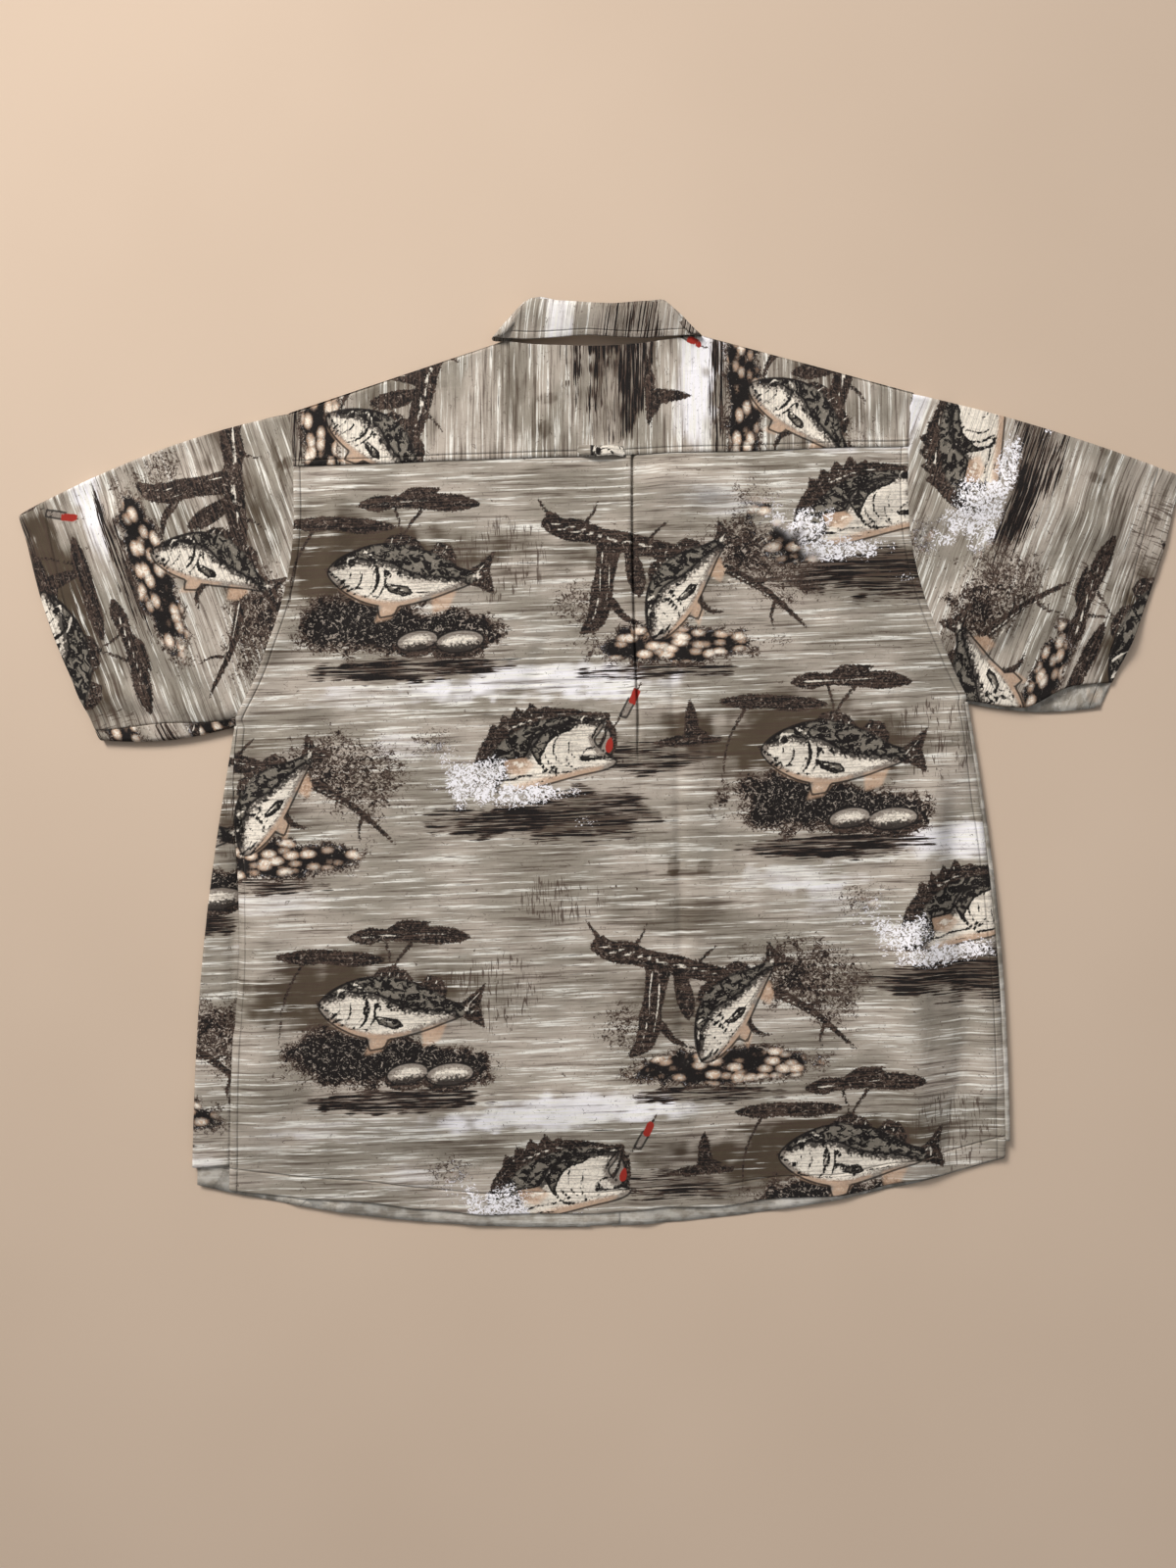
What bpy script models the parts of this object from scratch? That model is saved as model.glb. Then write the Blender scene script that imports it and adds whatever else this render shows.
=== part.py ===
"""A short-sleeved button-up shirt lying back-up, unbuttoned but closed, as separate cloth pieces.

The back of the shirt faces +Z, the collar points to +Y, and the fronts lie nearest the floor.
Every cloth piece is one ply of the same thickness, stacked on named levels, with a small gap
between plies. The sleeves, the fronts, the collar leaf and the locker loop each hang on an empty
whose X axis is the line that they fold about.
"""

import math

import bmesh
import bpy
from mathutils import Matrix, Vector

# Cloth, in metres
PLY = 0.0006
GAP = 0.0003
STEP = PLY + GAP
LEAF_THICKNESS = 0.0012

# Body, measured from the neck line (y = 0) down
NECK_HALF = 0.090
BACK_NECK_DIP = 0.009
FRONT_NECK_DROP = 0.087
SHOULDER_HALF = 0.286
SHOULDER_DROP = 0.060
YOKE_DEPTH = 0.110
YOKE_LAP = 0.008
ARMHOLE_DEPTH = 0.287
ARMHOLE_BOW = 0.028
UNDERARM_HALF = 0.338
SIDE_LENGTH = 0.404
SIDE_FLARE = 0.009
HEM_HALF = 0.377
HEM_DIP = 0.052
HEM_WIDTH = 0.022
FRONT_EXTRA = 0.016
LAY_SLOPE = 0.033

# Sleeve, from the shoulder tip out
SLEEVE_REACH = 0.250
SLEEVE_DROP = 0.085
CUFF_OPENING = 0.210
CUFF_TAPER = 0.075
SLEEVE_HEM_SHARE = 0.91

# Heights of the lowest face of each stack
BODY_LOFT = 0.0150
CUFF_LOFT = 0.0100
FRONT_LEVEL = STEP
BUTTON_THICKNESS = 0.0024
THREAD_HEIGHT = 0.0006

# Seams
SEAM_WIDTH = 0.012
SEAM_ROUND = 0.003
SIDE_SEAM_FROM = 0.02
SHOULDER_SEAM_FROM = 0.08
SHOULDER_SEAM_TO = 0.93
SEAM_END_SHARE = 0.005
PANEL_END_SHARE = 0.985
PANEL_INSET = SEAM_ROUND + PLY + GAP

# Plackets, buttons and pocket
BAND_WIDTH = 0.034
BAND_SHIFT = 0.001
BAND_LAP = 0.007
BUTTON_DIAMETER = 0.0114
BUTTON_HOLE_SPREAD = 0.0016
BUTTON_HOLE_RADIUS = 0.0007
BUTTON_COUNT = 7
BUTTON_PITCH = 0.103
FIRST_BUTTON_DROP = 0.015
BUTTONHOLE_EASE = 0.0026
BUTTONHOLE_WIDTH = 0.0012
THREAD_DIAMETER = 0.0022
POCKET_WIDTH = 0.112
POCKET_HEIGHT = 0.122
POCKET_POINT = 0.012
POCKET_DROP = 0.187
POCKET_INSET = 0.036

# Fronts' fold lines, collar, loop and labels
FOLD_TOP_CLEAR = 0.010
FOLD_TOP_DROP = 0.026
FOLD_HEM_INSET = 0.028
COLLAR_STAND_HEIGHT = 0.033
COLLAR_STAND_INSET = 0.024
COLLAR_LEAF_DEPTH = 0.037
COLLAR_LEAF_OVERHANG = 0.004
COLLAR_STAND_LAP = 0.006
COLLAR_STAND_TAPER = 0.004
COLLAR_LEAF_BOW = 0.002
COLLAR_LEAF_CORNER = (0.003, 0.012)
FRONT_STAND_HEIGHT = 0.026
COLLAR_POINT_LENGTH = 0.072
COLLAR_POINT_SPREAD = math.radians(40.0)
LOOP_HALF = 0.022
LOOP_WIDTH = 0.009
LOOP_FLAT_HALF = 0.0145
LOOP_TACK = 0.003
LOOP_CLEAR = 0.0048
NECK_LABEL_WIDTH = 0.046
NECK_LABEL_HEIGHT = 0.022
CARE_LABEL_WIDTH = 0.020
CARE_LABEL_HEIGHT = 0.032
CARE_LABEL_SHARE = 0.78

# Sizes worked out from those above
FOLD_TOP_X = NECK_HALF + FOLD_TOP_CLEAR
COLLAR_STAND_HALF = NECK_HALF - COLLAR_STAND_INSET
COLLAR_LEAF_HALF = NECK_HALF + COLLAR_LEAF_OVERHANG
BUTTONHOLE_LENGTH = BUTTON_DIAMETER + BUTTONHOLE_EASE

# Levels worked out from the sizes above
LINING_LEVEL = BODY_LOFT - STEP
LABEL_LEVEL = BODY_LOFT - 2 * STEP
YOKE_LEVEL = BODY_LOFT + STEP
SEAM_LEVEL = BODY_LOFT + 2 * STEP
LEAF_LEVEL = BODY_LOFT + 3 * STEP
FOLD_HEIGHT = SEAM_LEVEL + PLY + GAP
BUTTON_LEVEL = STEP
THREAD_LEVEL = BUTTON_LEVEL + BUTTON_THICKNESS + GAP
STAND_LEVEL = THREAD_LEVEL + THREAD_HEIGHT + GAP
RIGHT_RISE = STAND_LEVEL + STEP - FRONT_LEVEL
RISE_FROM = 0.024
RISE_TO = 0.070

LEFT, RIGHT = -1, 1
SIDE_NAMES = {LEFT: "left", RIGHT: "right"}

CLOTH = ((0.30, 0.28, 0.22), 0.85)
REVERSE = ((0.52, 0.48, 0.41), 0.90)
LABEL = ((0.80, 0.79, 0.75), 0.70)
BUTTON = ((0.24, 0.17, 0.11), 0.35)
THREAD = ((0.45, 0.40, 0.32), 0.80)


def lay(x, y):
    """The garment lies a little askew: one side is nearer the top than the other."""
    return x, y + LAY_SLOPE * x


def mix(a, b, t):
    return tuple(p + (q - p) * t for p, q in zip(a, b))


# The scene and its objects


def clear_scene():
    for obj in list(bpy.data.objects):
        bpy.data.objects.remove(obj, do_unlink=True)


def make_collection():
    collection = bpy.data.collections.new("short_sleeved_shirt")
    bpy.context.scene.collection.children.link(collection)
    return collection


def make_material(name, look):
    colour, roughness = look
    material = bpy.data.materials.new(name)
    material.use_nodes = True
    shader = material.node_tree.nodes["Principled BSDF"]
    shader.inputs["Base Color"].default_value = (*colour, 1.0)
    shader.inputs["Roughness"].default_value = roughness
    shader.inputs["Metallic"].default_value = 0.0
    material.diffuse_color = (*colour, 1.0)
    return material


def add_object(name, data, look, parent):
    obj = bpy.data.objects.new(name, data)
    data.materials.append(make_material(name, look))
    bpy.data.collections["short_sleeved_shirt"].objects.link(obj)
    hang(obj, parent)
    return obj


def hang(obj, parent):
    """Parents an object to an empty and leaves it where it is."""
    bpy.context.view_layer.update()
    obj.parent = parent
    obj.matrix_parent_inverse = parent.matrix_world.inverted()


def add_empty(name, location, direction, parent=None):
    """An empty whose X axis runs along a fold line."""
    empty = bpy.data.objects.new(name, None)
    empty.empty_display_size = 0.05
    bpy.data.collections["short_sleeved_shirt"].objects.link(empty)
    turn = Vector(direction).to_track_quat("X", "Z").to_matrix().to_4x4()
    empty.matrix_world = Matrix.Translation(Vector(location)) @ turn
    if parent:
        hang(empty, parent)
    return empty


def line_empty(name, start, end, height, parent):
    """An empty halfway along a fold line, with X from its start to its end."""
    a, b = Vector((*lay(*start), height)), Vector((*lay(*end), height))
    return add_empty(name, (a + b) / 2, b - a, parent)


# The two ways that a cloth piece is made


def flat_piece(name, outline, level, look, parent, holes=(), thickness=PLY):
    """A flat ply with a straight-sided outline, and openings cut by further outlines."""
    curve = bpy.data.curves.new(name, "CURVE")
    curve.dimensions = "2D"
    curve.fill_mode = "BOTH"
    curve.extrude = thickness / 2
    for points in (outline, *holes):
        spline = curve.splines.new("POLY")
        spline.points.add(len(points) - 1)
        for target, point in zip(spline.points, points):
            target.co = (*lay(*point), 0.0, 1.0)
        spline.use_cyclic_u = True
    obj = add_object(name, curve, look, parent)
    obj.location.z = level + thickness / 2
    return obj


def sheet_piece(name, place, columns, rows, look, parent, thickness=PLY):
    """A ply that bends: place(u, v) gives the middle of the cloth, for u and v from 0 to 1."""
    mesh = bpy.data.meshes.new(name)
    grid = bmesh.new()
    bmesh.ops.create_grid(grid, x_segments=columns, y_segments=rows, size=0.5)
    for vert in grid.verts:
        x, y, z = place(vert.co.x + 0.5, vert.co.y + 0.5)
        vert.co = (*lay(x, y), z)
    bmesh.ops.recalc_face_normals(grid, faces=grid.faces)
    grid.to_mesh(mesh)
    grid.free()
    obj = add_object(name, mesh, look, parent)
    ply = obj.modifiers.new("ply", "SOLIDIFY")
    ply.thickness = thickness
    ply.offset = 0.0
    ply.use_even_offset = True
    return obj


def ruled(first, second, level, rise=None):
    """place() for a sheet between two edges, each a function of u, raised where rise says."""

    def place(u, v):
        x, y = mix(first(u), second(u), v)
        return x, y, level + PLY / 2 + (rise(x) if rise else 0.0)

    return place


def channel(edge, inward, low, high, width=SEAM_WIDTH):
    """place() for a seam that wraps an edge: along the edge with v, round its outside with u."""
    profile = (
        (width, low),
        (SEAM_ROUND, low),
        (PLY, low + SEAM_ROUND),
        (PLY, high - SEAM_ROUND),
        (SEAM_ROUND, high),
        (width, high),
    )

    def place(u, v):
        depth, height = profile[round(u * (len(profile) - 1))]
        x, y = edge(v)
        away = inward(v)
        return x + away[0] * depth, y + away[1] * depth, height + PLY / 2

    return place


# The shirt's own lines, each for one side


def shoulder_tip(side):
    return side * SHOULDER_HALF, -SHOULDER_DROP


def underarm(side):
    return side * UNDERARM_HALF, -SHOULDER_DROP - ARMHOLE_DEPTH


def armhole_normal(side):
    """The direction across the sleeve's fold line, away from the body."""
    run = Vector(underarm(side)) - Vector(shoulder_tip(side))
    return Vector((-run.y, run.x)).normalized() * side


def armhole_line(side, t, outward=0.0):
    """The straight line that the sleeve folds about, moved out by some distance."""
    x, y = mix(shoulder_tip(side), underarm(side), t)
    normal = armhole_normal(side) * outward
    return x + normal.x, y + normal.y


def armhole_curve(side, t, inward=0.0):
    """The edge of the body's cloth at the armhole, which bows in from the straight line."""
    return armhole_line(side, t, -ARMHOLE_BOW * math.sin(math.pi * t) - inward)


def shoulder_line(side, t, down=0.0):
    x, y = mix((side * NECK_HALF, 0.0), shoulder_tip(side), t)
    return x, y - down


def side_line(side, t, inset=0.0):
    """From the underarm to the hem, with a slight curve out."""
    x, y = mix(underarm(side), (side * HEM_HALF, underarm(side)[1] - SIDE_LENGTH), t)
    return x + side * (SIDE_FLARE * math.sin(math.pi * t) - inset), y


def hem_line(x, extra=0.0):
    """The bottom edge, lowest at the middle."""
    share = min(1.0, abs(x) / HEM_HALF)
    y = underarm(RIGHT)[1] - SIDE_LENGTH - HEM_DIP * (1.0 - share**2)
    return x, y - extra


def back_neck(side, t):
    x = side * NECK_HALF * t
    return x, -BACK_NECK_DIP * (1.0 - t**2)


def front_neck(side, t):
    """The front neckline, from the middle out to the fold line."""
    middle = BAND_WIDTH / 2 - BAND_LAP
    x = middle + (FOLD_TOP_X - middle) * t
    y = -FOLD_TOP_DROP - (FRONT_NECK_DROP - FOLD_TOP_DROP) * math.sqrt(max(0.0, 1.0 - t**2))
    return side * x, y


def fold_top(side):
    return side * FOLD_TOP_X, -FOLD_TOP_DROP


def fold_hem(side):
    return hem_line(side * (HEM_HALF - FOLD_HEM_INSET), FRONT_EXTRA)


def rise_of(side):
    """The wearer's right front climbs over the buttons and the other front's band."""

    def rise(x):
        t = min(1.0, max(0.0, (RISE_TO - side * x) / (RISE_TO - RISE_FROM)))
        return RIGHT_RISE * t * t * (3.0 - 2.0 * t)

    return rise if side == RIGHT else None


def spread(u):
    """Puts more columns near the middle of the shirt, where the front climbs."""
    return u * u * (0.6 + 0.4 * u)


# Back


def build_back(torso):
    """The back panel, from inside the yoke to the hem, and its turned hem."""
    seam_y = -YOKE_DEPTH + YOKE_LAP
    first = armhole_share(seam_y)
    halves = {}
    for side in (LEFT, RIGHT):
        armhole = [armhole_curve(side, first + (1 - first) * i / 9) for i in range(9)]
        flank = [side_line(side, i / 6, PANEL_INSET) for i in range(7)]
        halves[side] = [(armhole[0][0], seam_y), *armhole[1:], *flank]
    reach = side_line(RIGHT, 1.0, PANEL_INSET)[0]
    hem = [hem_line(-reach + reach * i / 6) for i in range(1, 12)]
    outline = halves[LEFT] + hem + halves[RIGHT][::-1]
    flat_piece("back_panel", outline, BODY_LOFT, CLOTH, torso)
    inner = reach - PANEL_INSET

    def edge(u, lift=0.0):
        x, y = hem_line(inner * (2 * u - 1))
        return x, y + lift

    place = ruled(edge, lambda u: edge(u, HEM_WIDTH), LINING_LEVEL)
    sheet_piece("hem_back", place, 14, 1, REVERSE, torso)


def armhole_share(y):
    """How far down the armhole's line a height lies, from 0 at the shoulder to 1."""
    return (-SHOULDER_DROP - y) / ARMHOLE_DEPTH


def yoke_outline(inset):
    """Neck, shoulders, the armholes' upper ends and the straight seam across the back."""
    points = []
    share = armhole_share(-YOKE_DEPTH)
    for side in (LEFT, RIGHT):
        neck = [back_neck(side, i / 4) for i in range(4)]
        ends = (SHOULDER_SEAM_FROM / 2, PANEL_END_SHARE)
        shoulder = [shoulder_line(side, t, PANEL_INSET) for t in ends]
        armhole = [armhole_curve(side, share * i / 3, inset) for i in range(1, 4)]
        half = [*neck, *shoulder, *armhole[:-1], (armhole[-1][0], -YOKE_DEPTH)]
        points += half[::-1] if side == LEFT else half[1:]
    return points


def build_yoke(torso):
    flat_piece("yoke_outer", yoke_outline(0.0), YOKE_LEVEL, CLOTH, torso)
    flat_piece("yoke_lining", yoke_outline(PANEL_INSET), LINING_LEVEL, REVERSE, torso)


def build_side_seam(side, torso):
    """The seam that joins back and front from the underarm down, wrapping the edge of both."""

    def edge(v):
        return side_line(side, SIDE_SEAM_FROM + (1 - SIDE_SEAM_FROM) * v)

    place = channel(edge, lambda v: (-side, 0.0), 0.0, YOKE_LEVEL)
    sheet_piece(f"side_seam_{SIDE_NAMES[side]}", place, 5, 6, CLOTH, torso)


def build_shoulder_seam(side, torso):
    """The seam that joins yoke and front, wrapping the shoulder's edge."""

    def edge(v):
        return shoulder_line(side, SHOULDER_SEAM_FROM + (SHOULDER_SEAM_TO - SHOULDER_SEAM_FROM) * v)

    run = Vector(shoulder_tip(side)) - Vector((side * NECK_HALF, 0.0))
    down = Vector((run.y, -run.x)).normalized() * side
    place = channel(edge, lambda v: down, 0.0, SEAM_LEVEL)
    sheet_piece(f"shoulder_seam_{SIDE_NAMES[side]}", place, 5, 2, CLOTH, torso)


def seam_share(u):
    """A share of a seam's length that stops just short of both its ends."""
    return SEAM_END_SHARE + (1 - 2 * SEAM_END_SHARE) * u


def build_armhole_seams(side, torso):
    """The flat bands between the body's curved edge and the straight fold line."""
    for face, level in (("back", SEAM_LEVEL), ("front", 0.0)):

        def straight(u):
            return armhole_line(side, seam_share(u), -GAP)

        def curved(u):
            return armhole_curve(side, seam_share(u), SEAM_WIDTH / 2)

        place = ruled(straight, curved, level)
        sheet_piece(f"armhole_seam_{SIDE_NAMES[side]}_{face}", place, 12, 1, CLOTH, torso)


def build_loop(loop_axis):
    """A hanging loop tacked at both ends to the yoke, standing clear of it between them."""
    profile = (
        (-LOOP_HALF, 0.0),
        (-LOOP_HALF + LOOP_TACK, 0.0),
        (-LOOP_FLAT_HALF, LOOP_CLEAR),
        (LOOP_FLAT_HALF, LOOP_CLEAR),
        (LOOP_HALF - LOOP_TACK, 0.0),
        (LOOP_HALF, 0.0),
    )

    def place(u, v):
        x, height = profile[round(u * (len(profile) - 1))]
        y = -YOKE_DEPTH - GAP - LOOP_WIDTH * v + LOOP_WIDTH
        return x, y, SEAM_LEVEL + PLY / 2 + height

    sheet_piece("locker_loop", place, 5, 1, CLOTH, loop_axis)


def build_labels(torso):
    """A blank label inside the neck, and another inside the wearer's left side seam."""
    top = -BACK_NECK_DIP - GAP
    half = NECK_LABEL_WIDTH / 2
    low = top - NECK_LABEL_HEIGHT
    outline = [(-half, low), (half, low), (half, top), (-half, top)]
    flat_piece("neck_label", outline, LABEL_LEVEL, LABEL, torso)
    x, y = side_line(LEFT, CARE_LABEL_SHARE, PANEL_INSET + GAP)
    far = x + CARE_LABEL_HEIGHT
    outline = [(x, y), (far, y), (far, y + CARE_LABEL_WIDTH), (x, y + CARE_LABEL_WIDTH)]
    flat_piece("care_label", outline, LINING_LEVEL, LABEL, torso)


# Fronts


def build_front_side(side, torso):
    """The part of a front that stays with the body, outside its fold line."""
    name = f"front_{SIDE_NAMES[side]}_side"
    armhole = [armhole_curve(side, i / 9, PANEL_INSET) for i in range(1, 10)]
    flank = [side_line(side, i / 6, PANEL_INSET) for i in range(1, 7)]
    top_x = fold_top(side)[0] + side * GAP
    neck_y = shoulder_line(side, SHOULDER_SEAM_FROM * 0.75, PANEL_INSET)[1]
    shoulder = [(top_x, neck_y), shoulder_line(side, PANEL_END_SHARE, PANEL_INSET)]
    hem_x = fold_hem(side)[0] + side * GAP
    hem_points = [hem_line(flank[-1][0], FRONT_EXTRA), (hem_x, fold_hem(side)[1])]
    outline = [*shoulder, *armhole, *flank, *hem_points, (top_x, -FOLD_TOP_DROP)]
    flat_piece(name, outline if side == LEFT else outline[::-1], FRONT_LEVEL, CLOTH, torso)


def build_front_centre(side, flap):
    """The part of a front that opens, from its band out to the fold line, and its hem."""
    middle = BAND_WIDTH / 2 - BAND_LAP
    low = fold_hem(side)

    def hem(u, lift=0.0):
        reach = side * low[0] - GAP
        x, y = hem_line(side * (middle + (reach - middle) * spread(u)), FRONT_EXTRA)
        return x, y + lift

    def neck(u):
        x, y = front_neck(side, spread(u))
        return x - side * GAP * u, y

    rise = rise_of(side)
    name = SIDE_NAMES[side]
    place = ruled(hem, neck, FRONT_LEVEL, rise)
    sheet_piece(f"front_{name}_centre", place, 12, 8, CLOTH, flap)

    def inner(u):
        return hem(PANEL_END_SHARE * u, PLY)

    def outer(u):
        return hem(PANEL_END_SHARE * u, HEM_WIDTH)

    place = ruled(inner, outer, FRONT_LEVEL + STEP, rise)
    sheet_piece(f"hem_front_{name}", place, 12, 1, REVERSE, flap)


def band_outline(side, low, high):
    """A placket band's four corners, its middle set a little to the wearer's side."""
    shift = side * BAND_SHIFT
    half = BAND_WIDTH / 2
    return [(shift - half, low), (shift + half, low), (shift + half, high), (shift - half, high)]


def button_places():
    """The button centres, from the neck down."""
    first = -FRONT_NECK_DROP - FIRST_BUTTON_DROP
    return [(0.0, first - BUTTON_PITCH * i) for i in range(BUTTON_COUNT)]


def slot_outline(centre):
    """A buttonhole: a slit with square ends."""
    x, y = centre
    w, h = BUTTONHOLE_WIDTH / 2, BUTTONHOLE_LENGTH / 2
    return [(x - w, y - h), (x - w, y + h), (x + w, y + h), (x + w, y - h)]


def ring_outline(centre, radius, count):
    x, y = centre
    turns = [2 * math.pi * i / count for i in range(count)]
    return [(x + radius * math.cos(a), y + radius * math.sin(a)) for a in turns]


def build_plackets(flaps):
    """The buttonhole band, outermost, and the button stand above the buttons."""
    low = hem_line(0.0, FRONT_EXTRA)[1]
    high = -FRONT_NECK_DROP + GAP
    holes = [slot_outline(centre) for centre in button_places()]
    outline = band_outline(LEFT, low, high)
    flat_piece("placket_left", outline, 0.0, CLOTH, flaps[LEFT], holes)
    outline = band_outline(RIGHT, low + STEP, high)
    flat_piece("placket_right", outline, STAND_LEVEL, CLOTH, flaps[RIGHT])


def build_buttons(flap):
    """Four-hole buttons between the two plackets, each on a post of thread."""
    for number, (x, y) in enumerate(button_places(), 1):
        offsets = [(dx, dy) for dx in (-1, 1) for dy in (-1, 1)]
        centres = [(x + dx * BUTTON_HOLE_SPREAD, y + dy * BUTTON_HOLE_SPREAD) for dx, dy in offsets]
        holes = [ring_outline(centre, BUTTON_HOLE_RADIUS, 6) for centre in centres]
        rim = ring_outline((x, y), BUTTON_DIAMETER / 2, 20)
        flat_piece(f"button_{number}", rim, BUTTON_LEVEL, BUTTON, flap, holes, BUTTON_THICKNESS)
        post = ring_outline((x, y), THREAD_DIAMETER / 2, 8)
        name = f"button_thread_{number}"
        flat_piece(name, post, THREAD_LEVEL, THREAD, flap, thickness=THREAD_HEIGHT)


def build_pocket(flap):
    """A patch pocket on the wearer's left chest, with a shallow point at its lower edge."""
    near = -POCKET_INSET
    far = near - POCKET_WIDTH
    top = -POCKET_DROP
    low = top - POCKET_HEIGHT
    corner = low + POCKET_POINT
    outline = [(far, top), (far, corner), ((near + far) / 2, low), (near, corner), (near, top)]
    flat_piece("chest_pocket", outline, 0.0, CLOTH, flap)


# Collar


def build_collar_back(torso, leaf_axis):
    """The stand, which rises from the back of the neck, and the leaf folded down over it."""
    fold = COLLAR_STAND_HEIGHT - GAP
    low = -BACK_NECK_DIP - COLLAR_STAND_LAP
    half = COLLAR_STAND_HALF
    top = half - COLLAR_STAND_TAPER
    flat_piece("collar_stand", [(-half, low), (half, low), (top, fold), (-top, fold)], SEAM_LEVEL, REVERSE, torso)
    edge = COLLAR_STAND_HEIGHT - COLLAR_LEAF_DEPTH
    wide = COLLAR_LEAF_HALF
    corner_x, corner_y = wide - COLLAR_LEAF_CORNER[0], edge + COLLAR_LEAF_CORNER[1]
    leaf = [(-wide, edge), (0.0, edge - COLLAR_LEAF_BOW), (wide, edge), (corner_x, corner_y)]
    leaf += [(half, fold), (-half, fold), (-corner_x, corner_y)]
    flat_piece("collar_leaf", leaf, LEAF_LEVEL, CLOTH, leaf_axis, thickness=LEAF_THICKNESS)


def build_collar_front(side, flap):
    """The collar's front end: a stand above the neckline, and the leaf's point below it."""
    rise = rise_of(side)
    start, end = 0.06, 0.80

    def neck(u, lift):
        x, y = front_neck(side, start + (end - start) * u)
        return x, y + lift

    low = -COLLAR_STAND_LAP
    high = FRONT_STAND_HEIGHT
    place = ruled(lambda u: neck(u, low), lambda u: neck(u, high), FRONT_LEVEL + STEP, rise)
    sheet_piece(f"collar_stand_{SIDE_NAMES[side]}", place, 8, 1, REVERSE, flap)
    near = BAND_WIDTH / 2 + BAND_SHIFT + 4 * GAP
    top = [front_neck(side, t) for t in (0.25, 0.5, 0.7)]
    neck_edge = [(x, y + FRONT_STAND_HEIGHT / 2) for x, y in top]
    reach = COLLAR_POINT_LENGTH * math.sin(COLLAR_POINT_SPREAD)
    drop = COLLAR_POINT_LENGTH * math.cos(COLLAR_POINT_SPREAD)
    tip = (side * (near + reach), -FRONT_NECK_DROP - drop)
    outer = (neck_edge[-1][0], tip[1] + drop / 2)
    outline = [(side * near, -FRONT_NECK_DROP), *neck_edge, outer, tip]
    flat_piece(f"collar_point_{SIDE_NAMES[side]}", outline, 0.0, CLOTH, flap)


# Sleeves


def cuff_ends(side):
    x, y = shoulder_tip(side)
    top = (x + side * SLEEVE_REACH, y - SLEEVE_DROP)
    return top, (top[0] - side * CUFF_TAPER, top[1] - CUFF_OPENING)


def sleeve_edges(side):
    """The sleeve's folded upper edge and its seamed lower one, from armhole to cuff."""
    top, bottom = cuff_ends(side)
    start_top = armhole_line(side, 0.0, GAP)
    start_bottom = armhole_line(side, 1.0, GAP)
    return (lambda v: mix(start_top, top, v)), (lambda v: mix(start_bottom, bottom, v))


def sleeve_sheet(side, inset, first, last):
    """place() for a sleeve ply: from the underarm edge under, round the fold and back over."""
    upper, lower = sleeve_edges(side)
    shares = (0.0, 0.5, 1.0)

    def place(u, v):
        v = first + (last - first) * v
        low = FRONT_LEVEL + inset
        high = BODY_LOFT + (CUFF_LOFT - BODY_LOFT) * v - inset
        top, bottom = Vector(upper(v)), Vector(lower(v))
        down = (bottom - top).normalized()
        fold = top + down * (SEAM_ROUND + inset)
        hem = bottom - down * PANEL_INSET
        step = round(u * 7)
        if step <= 2:
            spot, height = hem.lerp(fold, shares[step]), low
        elif step >= 5:
            spot, height = fold.lerp(hem, shares[step - 5]), high
        else:
            spot = top + down * inset
            height = low + SEAM_ROUND if step == 3 else high - SEAM_ROUND
        return spot.x, spot.y, height + PLY / 2

    return place


def build_sleeve(side, axis):
    """The sleeve, its turned hem inside the cuff, and the seam along its underarm edge."""
    name = SIDE_NAMES[side]
    sheet_piece(f"sleeve_{name}", sleeve_sheet(side, 0.0, 0.0, 1.0), 7, 5, CLOTH, axis)
    place = sleeve_sheet(side, STEP, SLEEVE_HEM_SHARE, 0.998)
    sheet_piece(f"sleeve_hem_{name}", place, 7, 1, REVERSE, axis)
    upper, lower = sleeve_edges(side)

    def seam(u, v):
        v = seam_share(v)
        high = BODY_LOFT + (CUFF_LOFT - BODY_LOFT) * v + STEP
        up = (Vector(upper(v)) - Vector(lower(v))).normalized()
        return channel(lower, lambda _: up, 0.0, high)(u, v)

    sheet_piece(f"sleeve_seam_{name}", seam, 5, 3, CLOTH, axis)


# Fold lines


def sleeve_axis(side, torso):
    ends = [armhole_line(side, 0.0), armhole_line(side, 1.0)]
    if side == LEFT:
        ends.reverse()
    return line_empty(f"sleeve_{SIDE_NAMES[side]}_axis", *ends, FOLD_HEIGHT, torso)


def front_axis(side, torso):
    ends = [fold_top(side), fold_hem(side)]
    if side == LEFT:
        ends.reverse()
    return line_empty(f"front_{SIDE_NAMES[side]}_axis", *ends, FRONT_LEVEL - GAP, torso)


def leaf_axis(torso):
    ends = [(COLLAR_STAND_HALF, COLLAR_STAND_HEIGHT), (-COLLAR_STAND_HALF, COLLAR_STAND_HEIGHT)]
    return line_empty("collar_leaf_axis", *ends, LEAF_LEVEL - GAP / 2, torso)


def loop_axis(torso):
    y = -YOKE_DEPTH + LOOP_WIDTH
    return line_empty("locker_loop_axis", (LOOP_HALF, y), (-LOOP_HALF, y), SEAM_LEVEL - GAP / 2, torso)


def centre_on_floor(root):
    """Moves the whole shirt so that the origin is at the middle of its footprint."""
    bpy.context.view_layer.update()
    graph = bpy.context.evaluated_depsgraph_get()
    corners = []
    for obj in bpy.data.collections["short_sleeved_shirt"].objects:
        if obj.type != "EMPTY":
            shape = obj.evaluated_get(graph)
            corners += [obj.matrix_world @ Vector(corner) for corner in shape.bound_box]
    low = [min(corner[i] for corner in corners) for i in range(3)]
    high = [max(corner[i] for corner in corners) for i in range(3)]
    root.location = (-(low[0] + high[0]) / 2, -(low[1] + high[1]) / 2, -low[2])
    bpy.context.view_layer.update()


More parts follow.
